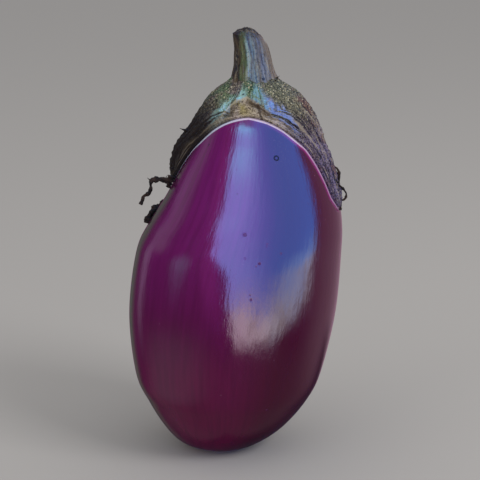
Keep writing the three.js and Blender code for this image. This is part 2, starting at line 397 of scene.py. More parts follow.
@dataclass(frozen=True)
class StalkBands:
    """Lengthwise colour bands of the stalk, which run on over the crown of the calyx.

    Each band starts over a ramp of azimuths in degrees. The dark left side and back are painted shade over the
    stalk's dark brown, and the pale cyan band left of the front is a painted highlight. Furrows are dark
    grooves at azimuths, and their ramp reads the degrees from one. The fine lines between them have dark gaps
    and pale crests.
    """

    # Dark brown, which also stands as painted shade on the left side and the back, and colours the grit.
    dark: Colour = linear(31, 26, 22)
    bands: tuple[tuple[Ramp, Colour], ...] = (
        (Ramp(-46, -32), linear(82, 100, 64)),
        # Painted highlight: a pale cyan band just left of the front.
        (Ramp(-22, -15), linear(122, 146, 140)),
        (Ramp(-11, -2), linear(98, 112, 112)),
        (Ramp(8, 24), linear(104, 106, 110)),
        (Ramp(44, 60, 0, 0.7), linear(122, 108, 90)),
        (Ramp(104, 136, 0, 0.8), linear(82, 100, 64)),
        (Ramp(140, 164), linear(31, 26, 22)),
    )
    sway: Noise = Noise(130, 4, 0.65)
    sway_degrees: float = 30.0
    furrows: tuple[float, ...] = (
        -160.0, -140.0, -110.0, -85.0, -62.0, -50.0, -5.0, 17.0, 32.0, 47.0, 66.0, 95.0, 120.0, 150.0, 174.0,
    )
    furrow: Ramp = Ramp(3.6, 0.8, 0, 0.6)
    furrow_colour: Colour = linear(58, 46, 38)
    lines: Noise = Noise(7, 5, 0.8)
    line_gap: Ramp = Ramp(0.49, 0.42, 0, 0.85)
    gap_colour: Colour = linear(56, 44, 36)
    line_crest: Ramp = Ramp(0.55, 0.62, 0, 0.6)
    crest_colour: Colour = linear(160, 150, 130)
    grit: Noise = Noise(900, 3, 0.6)
    grit_share: Ramp = Ramp(0.45, 0.36, 0, 0.6)

    def group(self) -> bpy.types.NodeTree:
        """Makes the shader group.

        Returns:
            A group that puts out Color for an azimuth in degrees and a place.
        """
        group, tree = new_group(
            "stalk_bands",
            {"Azimuth": 0.0, "Place": (0.0, 0.0, 0.0), "Grain": (0.0, 0.0, 0.0)},
            {"Color": "Color"},
        )
        ends = tree.add("NodeGroupInput").outputs
        sway = tree.minus(tree.noise(ends["Place"], self.sway), 0.5)
        across = tree.plus(ends["Azimuth"], tree.times(sway, self.sway_degrees))
        colour = self.dark
        for ramp, band in self.bands:
            colour = tree.blend(tree.step(across, ramp), colour, band)
        for furrow in self.furrows:
            colour = tree.blend(tree.step(tree.apart(across, furrow), self.furrow), colour, self.furrow_colour)
        line = tree.noise(tree.scaled(ends["Grain"], (1.0, 1.0, 0.5)), self.lines)
        colour = tree.blend(tree.step(line, self.line_gap), colour, self.gap_colour)
        colour = tree.blend(tree.step(line, self.line_crest), colour, self.crest_colour)
        grit = tree.step(tree.noise(ends["Place"], self.grit), self.grit_share)
        out = tree.add("NodeGroupOutput")
        tree.feed(out.inputs["Color"], tree.blend(grit, colour, self.dark))
        return group


def mark_group() -> bpy.types.NodeTree:
    """One round mark on a surface, such as a healed prick.

    Returns:
        A group that puts out Spot, 1 inside the mark, and Ring, 1 along its edge.
    """
    group, tree = new_group(
        "round_mark",
        {"Place": (0.0, 0.0, 0.0), "Centre": (0.0, 0.0, 0.0), "Radius": 0.001},
        {"Spot": "Float", "Ring": "Float"},
    )
    ends = tree.add("NodeGroupInput").outputs
    away = tree.vector("DISTANCE", ends["Place"], ends["Centre"]).outputs["Value"]
    share = tree.math("DIVIDE", away, ends["Radius"])
    out = tree.add("NodeGroupOutput")
    tree.feed(out.inputs["Spot"], tree.step(share, Ramp(1, 0.45)))
    tree.feed(out.inputs["Ring"], tree.step(tree.apart(share, 0.85), Ramp(0.45, 0.15)))
    return group


class Groups(Enum):
    """The shader groups that the finishes share."""

    FIBRES = "woody_fibres"
    SPECKS = "specks"
    MARK = "round_mark"
    STALK = "stalk_bands"

    def place(self, tree: Tree, **inputs: object) -> bpy.types.NodeOutputs:
        """Places this group in a tree with its own values.

        Args:
            tree: the tree to add it to.
            inputs: the group's input names to values or sockets.

        Returns:
            The outputs of the new group node.
        """
        node = tree.add("Group")
        node.node_tree = bpy.data.node_groups[self.value]
        for key, value in inputs.items():
            tree.feed(node.inputs[key], value)
        return node.outputs


@dataclass(frozen=True)
class Specks:
    """Scattered round specks: how fine their cells are, a speck's size in its cell, and the cells' share."""

    cells: float
    size: float
    share: float

    def place(self, tree: Tree, place: object) -> Socket:
        """1 on a speck."""
        values = {"Cells": self.cells, "Size": self.size, "Share": self.share}
        return Groups.SPECKS.place(tree, Place=place, **values)["Speck"]


@dataclass(frozen=True)
class Skin:
    """The fruit's skin: station curve, lobes, and places measured on it.

    Attributes:
        stations: radius, sideways place of the centre and height, from the flat spot up.
        front_to_back: depth of the fruit as a share of its width.
    """

    stations: tuple[Point, ...] = (
        (13.0, 0.0, 0.0), (22.0, -0.6, 4.2), (30.9, 1.2, 12.5), (39.4, 2.6, 25.0), (45.6, 2.9, 39.0),
        (50.0, 4.8, 68.0), (49.1, 7.9, 98.0), (46.1, 11.2, 112.0), (41.1, 14.4, 125.0), (34.6, 15.8, 140.0),
        (28.2, 16.2, 152.0), (22.5, 16.1, 162.0), (13.5, 16.0, 169.5), (0.0, 16.0, 173.0),
    )
    front_to_back: float = 0.985

    def __post_init__(self) -> None:
        """Samples the meridian and its length from the top down."""
        line = curve_samples(list(self.stations), 60)[::-1]
        steps = np.linalg.norm(np.diff(line, axis=0), axis=1)
        object.__setattr__(self, "line", line)
        object.__setattr__(self, "reaches", np.concatenate([[0.0], np.cumsum(steps)]))

    @property
    def length(self) -> float:
        """Length of the meridian."""
        return float(self.reaches[-1])

    def girth(self, azimuth: Array) -> Array:
        """Soft lobes round the fruit, as a factor on its radius."""
        angle = np.radians(azimuth)
        return 1 + 0.004 * np.sin(5 * angle + 0.6) + 0.003 * np.sin(3 * angle + 2)

    def point(self, azimuth: Array, reach: Array, lift: Array) -> Array:
        """Points at azimuths and reaches, lifted off the skin.

        Args:
            azimuth: degrees.
            reach: millimetres along the skin from the top.
            lift: millimetres off the skin.

        Returns:
            Millimetre coordinates on the last axis.
        """
        azimuth, reach, lift = np.broadcast_arrays(azimuth, reach, lift)
        radius, side, height = (np.interp(reach, self.reaches, self.line[:, i]) for i in range(3))
        slope_out = np.interp(reach, self.reaches, np.gradient(self.line[:, 0], self.reaches))
        slope_up = np.interp(reach, self.reaches, np.gradient(self.line[:, 2], self.reaches))
        tilt = np.hypot(slope_out, slope_up)
        outward = -slope_up / tilt * np.clip(reach / 10.0, 0.0, 1.0)
        upward = slope_out / tilt
        around = radius * self.girth(azimuth) + lift * outward
        angle = np.radians(azimuth)
        x = side + around * np.sin(angle)
        y = -around * self.front_to_back * np.cos(angle)
        return np.stack([x, y, height + lift * upward], axis=-1)


@dataclass(frozen=True)
class Sepal:
    """One sepal: azimuth, half width in degrees, extra reach, and how far its tip turns aside."""

    azimuth: float
    half: float
    extra: float
    turn: float


def net_mesh(name: str, rings: Array, top: Array, bottom: Array) -> Piece:
    """A closed skin of rings between two poles.

    Args:
        name: the object's name.
        rings: rings by columns by 3, in millimetres, from the top ring down.
        top: the top pole.
        bottom: the bottom pole.

    Returns:
        The new object, smooth shaded, linked to the scene. Vertex 0 is the top pole and the last is the bottom.
    """
    count, columns = rings.shape[:2]
    points = np.vstack([top[None], rings.reshape(-1, 3), bottom[None]]) * MM
    first = 1 + np.arange(count)[:, None] * columns
    here = first + np.arange(columns)
    there = first + (np.arange(columns) + 1) % columns
    quads = np.stack([here[:-1], here[1:], there[1:], there[:-1]], axis=-1).reshape(-1, 4)
    cap = np.stack([np.zeros(columns, int), here[0], there[0]], axis=-1)
    foot = np.stack([here[-1], np.full(columns, len(points) - 1), there[-1]], axis=-1)
    mesh = bpy.data.meshes.new(name)
    mesh.from_pydata(points.tolist(), [], cap.tolist() + quads.tolist() + foot.tolist())
    mesh.shade_smooth()
    piece = bpy.data.objects.new(name, mesh)
    bpy.context.scene.collection.objects.link(piece)
    return piece


def keep_values(piece: Piece, name: str, values: Array) -> None:
    """Keeps one value, or one vector, for each vertex of a piece.

    Args:
        piece: the object.
        name: the attribute's name.
        values: one row for each vertex, of 1 or 3 numbers.
    """
    flat = np.asarray(values, np.float32)
    if flat.ndim == 1:
        piece.data.attributes.new(name, "FLOAT", "POINT").data.foreach_set("value", flat)
    else:
        piece.data.attributes.new(name, "FLOAT_VECTOR", "POINT").data.foreach_set("vector", flat.ravel())


def on_net(rings: Array, top: float | Array, bottom: float | Array) -> Array:
    """Values of rings and poles in the vertex order of net_mesh.

    Args:
        rings: one value or vector for each point of the rings.
        top: the top pole's.
        bottom: the bottom pole's.

    Returns:
        The values in order.
    """
    if rings.ndim == 2:
        return np.concatenate([[top], rings.ravel(), [bottom]])
    return np.vstack([np.atleast_2d(top), rings.reshape(-1, rings.shape[-1]), np.atleast_2d(bottom)])


@dataclass(frozen=True)
class Relief:
    """What stands on the calyx's outer face, in millimetres: folds, swellings, fibres, grit and warts.

    Each sepal has the fewest to most folds of fold_waves, and they gain in height down it. Warts stand
    within wart_reach, and wart_size holds the smallest and largest radius.
    """

    seed: int = 7
    folds: int = 9
    fold_waves: tuple[int, int] = (30, 95)
    fold_height: float = 0.15
    fold_gain: float = 0.25
    coarse: Ripples = Ripples(11, 0.6, 2.2)
    coarse_height: float = 0.22
    fine: Ripples = Ripples(12, 2.5, 6.0, 30)
    fine_height: float = 0.16
    grit: Ripples = Ripples(13, 0.25, 0.7, 40)
    grit_height: float = 0.13
    warts: int = 90
    wart_reach: tuple[float, float] = (13, 58)
    wart_size: tuple[float, float] = (0.35, 0.7)

    def at(self, skin: Skin, grain: Array, azimuth: Array, reach: Array) -> Array:
        """Height over the smooth cap.

        Args:
            skin: the skin below the cap.
            grain: grain coordinates of the places.
            azimuth: degrees.
            reach: millimetres.

        Returns:
            Millimetres, before they fade toward the margin.
        """
        across = np.arctan2(grain[..., 1], grain[..., 0])
        draw = np.random.default_rng(self.seed)
        ribs = np.zeros_like(reach)
        for _ in range(self.folds):
            waves = draw.integers(*self.fold_waves)
            drift = draw.uniform(-1.2, 1.2)
            ribs += np.cos(waves * across + drift * grain[..., 2] * 4 + draw.uniform(0, 6.3))
        ribs = np.abs(ribs / math.sqrt(self.folds)) - 0.5
        height = (self.fold_height + self.fold_gain * smooth(reach, 20, 34)) * ribs
        height = height + self.coarse_height * self.coarse.at(grain * np.array([5.0, 5.0, 2.4]))
        height = height + self.fine_height * self.fine.at(grain * np.array([5.0, 5.0, 3.0]))
        place = skin.point(azimuth, reach, np.zeros_like(reach))
        height = (height + self.grit_height * self.grit.at(place)) * smooth(reach, 9, 18)
        warts = draw.uniform(-180, 180, self.warts)
        spots = draw.uniform(*self.wart_reach, self.warts)
        sizes = draw.uniform(*self.wart_size, self.warts)
        radius = np.interp(reach, skin.reaches, skin.line[:, 0])
        for wart, spot, size in zip(warts, spots, sizes):
            round_way = np.radians(apart(azimuth, wart)) * radius
            height += 0.75 * size * np.exp(-(round_way**2 + (reach - spot) ** 2) / (1.6 * size**2))
        return height


@dataclass(frozen=True)
class WaxSheenArm:
    """One arm of the waxy, glossy band along the V-shaped ridge, which also carries a painted sky sheen.

    Attributes:
        outer_end: azimuths between which it fades at its far end.
        inner_end: the same at the point of the V.
        lift: millimetres from the ridge to its middle at the point, and lift_gain what is added far out.
        width: its half width at the point, and width_gain what is added far out.
    """

    outer_end: tuple[float, float]
    inner_end: tuple[float, float]
    lift: float
    lift_gain: float
    width: float
    width_gain: float

    def at(self, azimuth: Array, above: Array, far: Array) -> Array:
        """How much wax there is.

        Args:
            azimuth: degrees.
            above: millimetres above the ridge.
            far: 0 at the point of the V, and 1 far out on an arm.

        Returns:
            0 without wax, to 1 in the middle of the arm.
        """
        ends = smooth(azimuth, *self.outer_end) * smooth(azimuth, *self.inner_end)
        lift, width = self.lift + self.lift_gain * far, self.width + self.width_gain * far
        return ends * bell((above - lift) / width, 1.0)


@dataclass
class Calyx:
    """The woody cap with its sepals, and the thorns on it.

    Attributes are the driving sizes, in millimetres and degrees:
        gap: play between the cap and the skin.
        arch_reach: where the margin lies at the middle of the front arch. The web between the sepals
            adds web_reach over web_width, and each sepal's blade adds strap_reach and tip_reach.
        torn_height: height of the margin's waves, away from the front.
        turn_reach: where the tips begin to turn aside, and turn_length over what length they do.
        crown_height: thickness at the crown, which falls off over crown_fall with crown_power.
        crown_reach: where the outer face rises from under the stem, at height crown_z.
        crest_height: height of the ridge, and sunk_depth how far the field below it lies deeper.
        bowed_azimuth: where the cap bows out, with its width, reach, length and lift.
        prickles: azimuth, reach and length of each thorn.
        ridge_line: azimuth and reach of the ridge's corners.
    """

    skin: Skin
    gap: float = 0.4
    margin_thickness: float = 1.0
    arch_azimuth: float = -8.0
    arch_width: float = 38.0
    arch_reach: float = 20.4
    web_reach: float = 28.3
    web_width: float = 33.6
    strap_reach: float = 17.0
    strap_edge: float = 10.5
    tip_reach: float = 6.0
    tip_inset: float = 4.0
    torn_height: float = 0.5
    turn_reach: float = 40.0
    turn_length: float = 28.0
    crown_height: float = 9.0
    crown_fall: float = 30.0
    crown_power: float = 1.6
    crown_reach: float = 8.0
    crown_z: float = 182.3
    keel_width: float = 5.0
    keel_height: float = 0.5
    crest_height: float = 1.1
    sunk_depth: float = 0.7
    grain_length: float = 40.0
    columns: int = 440
    outer_rows: int = 150
    inner_rows: int = 20
    crown_rows: int = 10
    sepals: tuple[Sepal, ...] = (
        Sepal(-103.5, 19.3, -12, 22), Sepal(84, 23, -1, -7), Sepal(130, 13, -1.7, 6), Sepal(172, 14, 1.3, -4),
        Sepal(-146, 13, 2.3, 16),
    )
    bowed_azimuth: float = -98.0
    bowed_width: float = 22.0
    bowed_reach: float = 45.0
    bowed_length: float = 9.0
    bowed_lift: float = 4.2
    relief: Relief = Relief()
    prickles: tuple[Point, ...] = (
        (-92, 35.5, 3.4), (76, 9.6, 2.0), (58, 10.2, 1.6), (-97, 54, 2.4), (118, 30, 2.2), (-150, 36, 2.4),
        (176, 44, 2.0),
    )
    ridge_line: tuple[tuple[float, float], ...] = (
        (-60, 31), (-41.9, 23.2), (-35.4, 19.5), (-28.8, 16.6), (-14, 14.4), (3.2, 16.6), (14.8, 20.6),
        (26, 25), (35.7, 27.6), (60, 44),
    )
    ridge_point: float = -14.0
    wax_sheen_arms: tuple[WaxSheenArm, ...] = (
        WaxSheenArm((-60, -50), (-12, -22), 1.5, 2, 1, 1.7),
        WaxSheenArm((-12, -2), (48, 36), 1.4, 2.2, 0.9, 1.9),
    )

    def margin(self, azimuth: Array) -> Array:
        """How far the margin reaches down the skin.

        Args:
            azimuth: degrees.

        Returns:
            Millimetres from the top.
        """
        web = np.zeros_like(azimuth)
        straps = np.zeros_like(azimuth)
        for sepal in self.sepals:
            away = np.abs(apart(azimuth, sepal.azimuth))
            web = np.maximum(web, bell(away, self.web_width))
            blade = 1 - smooth(away, sepal.half - self.strap_edge, sepal.half + self.strap_edge)
            point = np.maximum(0, 1 - away / (sepal.half - self.tip_inset))
            straps = np.maximum(straps, blade * (self.strap_reach + sepal.extra) + point * self.tip_reach)
        angle = np.radians(azimuth)
        torn = np.sin(9 * angle + 1) + 0.7 * np.sin(17 * angle)
        torn = torn * self.torn_height * smooth(np.abs(apart(azimuth, self.arch_azimuth)), 70, 100)
        return self.arch_reach + self.web_reach * web + straps + torn

    def turn(self, azimuth: Array, reach: Array) -> Array:
        """How far a sepal's tip turns aside.

        Args:
            azimuth: degrees.
            reach: millimetres.

        Returns:
            Degrees.
        """
        down = np.maximum(0, (reach - self.turn_reach) / self.turn_length) ** 2
        total = np.zeros_like(azimuth)
        for sepal in self.sepals:
            total = total + sepal.turn * bell(apart(azimuth, sepal.azimuth), sepal.half) * down
        return total

    def front(self, azimuth: Array) -> Array:
        """1 at the middle of the wide front arch, falling to both sides."""
        return bell(apart(azimuth, self.arch_azimuth), self.arch_width)

    def around(self, azimuth: Array) -> Array:
        """Cosine and sine of an azimuth, which shaders can blend with no seam at the back."""
        angle = np.radians(azimuth)
        return np.stack([np.cos(angle), np.sin(angle), np.zeros_like(angle)], axis=-1)

    def ridge(self, azimuth: Array) -> Array:
        """Reach of the V-shaped ridge over the front arch, whose point lies below the stem."""
        places, reaches = zip(*self.ridge_line)
        return np.interp(azimuth, places, reaches)

    def keel(self, azimuth: Array) -> Array:
        """1 along the middle of each sepal."""
        return np.max([bell(apart(azimuth, sepal.azimuth), self.keel_width) for sepal in self.sepals], axis=0)

    def thickness(self, azimuth: Array, reach: Array) -> Array:
        """Thickness over the skin, thin at the margin and thick on the shoulders.

        Args:
            azimuth: degrees.
            reach: millimetres.

        Returns:
            Millimetres.
        """
        edge = self.margin(azimuth) - reach
        front = self.front(azimuth)
        crown = self.crown_height * np.exp(-((reach / self.crown_fall) ** self.crown_power))
        bowed = self.bowed_lift * bell(apart(azimuth, self.bowed_azimuth), self.bowed_width)
        bowed = bowed * bell(reach - self.bowed_reach, self.bowed_length)
        body = crown - 3 * front * smooth(reach, 6, 12) + bowed + self.keel_height * self.keel(azimuth)
        share = np.clip((edge + 1) / (mix(5.0, 8.0, front) + 1), 0, 1)
        taper = share * share * (3 - 2 * share)
        above = self.ridge(azimuth) - reach
        arched = smooth(front, 0.3, 0.7)
        crest = self.crest_height * arched * bell(above - 0.6, 1.1)
        sunk = self.sunk_depth * arched * smooth(-above, 0.2, 1.6) * taper
        return self.margin_thickness + body * taper + crest - sunk

    def grain(self, azimuth: Array, reach: Array) -> Array:
        """Grain coordinates, which run from the crown into each sepal's tip and lie along its margins.

        Args:
            azimuth: degrees.
            reach: millimetres.

        Returns:
            A place on a circle for the way across the fibres, and one along them.
        """
        fine = np.linspace(-180, 180, 1441)
        reaches = self.margin(fine)
        ordered = sorted(self.sepals, key=lambda sepal: sepal.azimuth)
        across = np.zeros_like(azimuth)
        for index, sepal in enumerate(ordered):
            for side in (-1, 1):
                other = ordered[(index + side) % len(ordered)]
                span = (side * (other.azimuth - sepal.azimuth)) % 360
                offsets = np.linspace(0, span, 361)
                heights = np.interp(apart(sepal.azimuth + side * offsets, 0), fine, reaches)
                sinus = int(np.argmin(heights))
                falling = np.minimum.accumulate(heights[: sinus + 1])
                falling = falling - np.arange(len(falling)) * 1e-6
                away = side * apart(azimuth, sepal.azimuth)
                inside = (away >= 0) & (away <= offsets[sinus])
                edge = np.interp(reach, falling[::-1], offsets[: sinus + 1][::-1])
                share = np.clip(away / np.maximum(edge, 0.5), 0, 1)
                across = np.where(inside, index + 0.5 + 0.5 * side * share, across)
        turn = 2 * math.pi * across / len(ordered)
        return np.stack([np.cos(turn), np.sin(turn), reach / self.grain_length], axis=-1)

    def outer(self, azimuth: Array, reach: Array, stem: "Stem", fine: bool = True) -> Array:
        """Points of the outer face, from the crown under the stem out and down to the margin.

        Args:
            azimuth: degrees.
            reach: millimetres.
            stem: the stem that stands on the crown.
            fine: whether the fine relief is on it.

        Returns:
            Millimetre coordinates on the last axis.
        """
        lift = self.gap + self.thickness(azimuth, reach)
        if fine:
            height = self.relief.at(self.skin, self.grain(azimuth, reach), azimuth, reach)
            lift = lift + height * smooth(self.margin(azimuth) - reach, 0.3, 2.5)
        point = self.skin.point(azimuth + self.turn(azimuth, reach), reach, lift)
        crown = stem.outline(azimuth, 0.0, 1.0)
        crown[..., 2] = self.crown_z
        return mix(crown, point, smooth(reach, self.crown_reach - 1, self.crown_reach + 6)[..., None])

    def inner(self, azimuth: Array, reach: Array) -> Array:
        """Points of the inner face, which lies close over the skin."""
        return self.skin.point(azimuth + self.turn(azimuth, reach), reach, self.gap * 0.35)

    def build(self, stem: "Stem") -> Piece:
        """Builds the cap as one closed skin with its thorns.

        Args:
            stem: the stem that stands on the crown.

        Returns:
            The calyx object.
        """
        azimuth = np.linspace(-180, 180, self.columns, endpoint=False)
        margin = self.margin(azimuth)
        crown = []
        for row in range(1, self.crown_rows):
            ring = stem.outline(azimuth, 0.0, row / self.crown_rows)
            ring[..., 2] = self.crown_z
            crown.append(ring)
        down = np.linspace(0, 1, self.outer_rows)[:, None]
        outer_reach = mix(self.crown_reach - 1, margin[None], down)
        outer = self.outer(np.broadcast_to(azimuth, outer_reach.shape), outer_reach, stem)
        inner_reach = margin[None] * np.linspace(1, 0, self.inner_rows, endpoint=False)[:, None]
        inner = self.inner(np.broadcast_to(azimuth, inner_reach.shape), inner_reach)
        side = stem.outline(np.zeros(1), 0.0, 0.0)[0]
        top = np.array([side[0], side[1], self.crown_z])
        bottom = self.inner(np.zeros(1), np.zeros(1))[0]
        piece = net_mesh("calyx_cap", np.concatenate([np.array(crown), outer, inner]), top, bottom)
        crown_reach = np.full((len(crown), self.columns), self.crown_reach - 1)
        reach = np.concatenate([crown_reach, outer_reach, inner_reach])
        self.keep_looks(piece, np.broadcast_to(azimuth, reach.shape), reach)
        thorns = [self.prickle(stem, *prickle) for prickle in self.prickles]
        return joined("calyx_cap", [piece] + thorns)

    def keep_looks(self, piece: Piece, azimuth: Array, reach: Array) -> None:
        """Keeps on the mesh what the finish reads.

        Args:
            piece: the cap.
            azimuth: degrees, for the rings of the cap.
            reach: millimetres, for the same.
        """
        above = self.ridge(azimuth) - reach
        far = smooth(np.abs(apart(azimuth, self.ridge_point)), 2, 26)
        # The dark left sepal, partly dried tissue and partly painted shade in the finish.
        withered_and_shaded = smooth(azimuth, -36, -66) * smooth(azimuth, -170, -140) * smooth(reach, 12, 30)
        web = smooth(above, 0.3, -0.4) * smooth(self.front(azimuth), 0.3, 0.55)
        # The waxy band by the ridge: the finish gives it a gloss coat and a painted sky sheen.
        wax = np.max([arm.at(azimuth, above, far) for arm in self.wax_sheen_arms], axis=0)
        ahead = np.array([1.0, 0.0, 0.0])
        keep_values(piece, "grain", on_net(self.grain(azimuth, reach), np.zeros(3), np.zeros(3)))
        keep_values(piece, "around", on_net(self.around(azimuth), ahead, ahead))
        keep_values(piece, "edge", on_net(self.margin(azimuth) - reach, FAR, FAR))
        keep_values(piece, "above", on_net(np.clip(above, -FAR, FAR), FAR, FAR))
        for name, values in (("reach", reach), ("withered_and_shaded", withered_and_shaded), ("web", web), ("wax", wax)):
            keep_values(piece, name, on_net(values, 0.0, 0.0))

    def prickle(self, stem: "Stem", azimuth: float, reach: float, length: float) -> Piece:
        """A thorn that stands on the cap, with its tip drawn toward the sepal's end.

        Args:
            stem: the stem that stands on the crown.
            azimuth: degrees.
            reach: place of its foot.
            length: how far it stands out.

        Returns:
            The thorn, which keeps the same values on its mesh as the cap.
        """
        places = np.array([azimuth, azimuth, azimuth + 1.0])
        near = self.outer(places, np.array([reach, reach + 1.0, reach]), stem, False)
        outward = np.cross(near[1] - near[0], near[2] - near[0])
        outward /= np.linalg.norm(outward)
        if outward @ (near[0] - np.array([near[0][0] * 0.3, 0.0, near[0][2] - 10])) < 0:
            outward = -outward
        down = (near[1] - near[0]) / np.linalg.norm(near[1] - near[0])
        root = near[0] - self.gap * outward
        tip = root + (length + self.gap) * outward + 0.3 * length * down
        thorn = cone("prickle", root, tip, 0.34 * length)
        count = len(thorn.data.vertices)
        looks = {"edge": FAR, "reach": reach, "withered_and_shaded": 1.0, "web": 0.0, "above": FAR, "wax": 0.0}
        for name, value in looks.items():
            keep_values(thorn, name, np.full(count, value))
        keep_values(thorn, "around", self.around(np.full(count, azimuth)))
        keep_values(thorn, "grain", np.tile([1.0, 0.0, reach / self.grain_length], (count, 1)))
        return thorn


@dataclass
class Stem:
    """The fluted stub of the stalk.

    Attributes are the driving sizes, in millimetres:
        stations: radius, sideways place of the centre and height, from the crown up.
        top: height of the top.
        flute_depth: depth of the flutes as a share of the radius.
        high_drop: how far the cut's rim drops on the right, and low_rise how far it rises on the left.
        foot_reach: how far the foot runs out over the crown, and foot_share over what share of the length.
        swelling: height of the soft lengthwise swellings, and fibre_height that of the fibres.
    """

    stations: tuple[Point, ...] = (
        (10.3, 15.1, 182.7), (9.1, 14.8, 187.0), (8.5, 14.3, 191.6), (8.05, 14.0, 195.0), (7.75, 13.3, 198.7),
        (7.4, 12.7, 201.5),
    )
    top: float = 204.4
    flute_depth: float = 0.035
    high_drop: float = 3.2
    low_rise: float = 0.4
    foot_reach: float = 9.8
    foot_share: float = 0.14
    foot_power: float = 3.2
    foot_sunk: float = 0.12
    swelling: float = 0.16
    fibre_height: float = 0.09
    ripple: Ripples = Ripples(21, 0.5, 1.6)
    fibre: Ripples = Ripples(22, 2.5, 5.0, 30)
    columns: int = 200
    rows: int = 90
    cut_rows: int = 26

    def __post_init__(self) -> None:
        """Samples the middle line."""
        self.line = curve_samples(list(self.stations), 40)
        self.places = np.linspace(0, 1, len(self.line))

    def fluted(self, radius: Array, azimuth: Array) -> Array:
        """Radius with its flutes."""
        angle = np.radians(azimuth)
        flutes = np.cos(7 * angle + 1.1) + 0.6 * np.cos(4 * angle + 2.2)
        return radius * (1 + self.flute_depth * flutes)

    def outline(self, azimuth: Array, along: float | Array, scale: float | Array) -> Array:
        """Points of the outline at a place along the middle line, scaled about its centre.

        Args:
            azimuth: degrees.
            along: 0 at the crown to 1 at the cut.
            scale: 0 at the middle line to 1 on the side.

        Returns:
            Millimetre coordinates on the last axis.
        """
        azimuth, along, scale = np.broadcast_arrays(azimuth, along, scale)
        radius, side, height = (np.interp(along, self.places, self.line[:, i]) for i in range(3))
        angle = np.radians(azimuth)
        around = self.fluted(radius, azimuth) * scale
        return np.stack([side + around * np.sin(angle), -around * np.cos(angle), height], axis=-1)

    def cut_ring(self, azimuth: Array, out: float, drop: Array) -> Array:
        """One ring of the worn cut.

        Args:
            azimuth: degrees.
            out: 0 at the middle to 1 at the rim.
            drop: how far the rim lies below the top station.

        Returns:
            The ring's points.
        """
        ring = self.outline(azimuth, 1.0, out)
        ring[..., 2] = mix(ring[..., 2] - drop, self.top, 1 - out**2)
        rough = 0.35 * self.ripple.at(ring / 4.0) + 0.15 * self.fibre.at(ring / 4.0)
        ring[..., 2] += rough * (1 - out**4)
        return ring

    def side_ring(self, azimuth: Array, along: float, drop: Array, root: Array) -> Array:
        """One ring of the fluted side, which runs out over the crown at its foot.

        Args:
            azimuth: degrees.
            along: 1 at the rim to 0 at the foot.
            drop: how far the rim lies below the top station.
            root: where the foot ends on the calyx.

        Returns:
            The ring's points.
        """
        ring = self.outline(azimuth, along, 1.0)
        ring[..., 2] -= drop * along**3
        angle = np.radians(azimuth)
        lengthwise = np.stack([np.cos(angle), np.sin(angle), np.full_like(angle, along * 0.5)], axis=-1)
        relief = self.swelling * self.ripple.at(lengthwise * np.array([2.4, 2.4, 0.8]))
        relief += self.fibre_height * self.fibre.at(lengthwise * np.array([3.0, 3.0, 0.5]))
        outward = ring - ring.mean(axis=0)
        outward[:, 2] = 0
        outward /= np.linalg.norm(outward, axis=1, keepdims=True)
        share = max(0.0, 1 - along / self.foot_share) ** self.foot_power
        return mix(ring + outward * relief[:, None], root, share)

    def build(self, calyx: Calyx) -> Piece:
        """Builds the stub: the worn cut on top, the fluted side, and the foot that runs out over the calyx.

        Args:
            calyx: the calyx that the stalk grows into.

        Returns:
            The stem object.
        """
        azimuth = np.linspace(-180, 180, self.columns, endpoint=False)
        angle = np.radians(azimuth)
        side = np.sin(angle)
        drop = np.where(side > 0, self.high_drop * side**2, -self.low_rise * side**2)
        ragged = self.foot_reach + 0.5 * np.sin(5 * angle) + 0.4 * np.sin(13 * angle + 1)
        root = calyx.outer(azimuth, ragged, self)
        root[:, 2] -= self.foot_sunk
        outs = [math.sin(row / self.cut_rows * math.pi / 2) for row in range(1, self.cut_rows)]
        rings = [self.cut_ring(azimuth, out, drop) for out in outs]
        rings += [self.side_ring(azimuth, 1 - row / self.rows, drop, root) for row in range(self.rows + 1)]
        foot = self.outline(np.zeros(1), 0.0, 0.0)[0]
        top = self.outline(np.zeros(1), 1.0, 0.0)[0]
        top[2] = self.top
        piece = net_mesh("stem_stub", np.array(rings), top, foot)
        height = np.array(rings)[..., 2]
        angle = np.broadcast_to(angle, height.shape)
        grain = np.stack([np.cos(angle), np.sin(angle), height / calyx.grain_length], axis=-1)
        keep_values(piece, "grain", on_net(grain, np.zeros(3), np.zeros(3)))
        cut = np.zeros(height.shape)
        cut[: self.cut_rows // 2] = 1.0
        keep_values(piece, "cut", on_net(cut, 1.0, 0.0))
        return piece


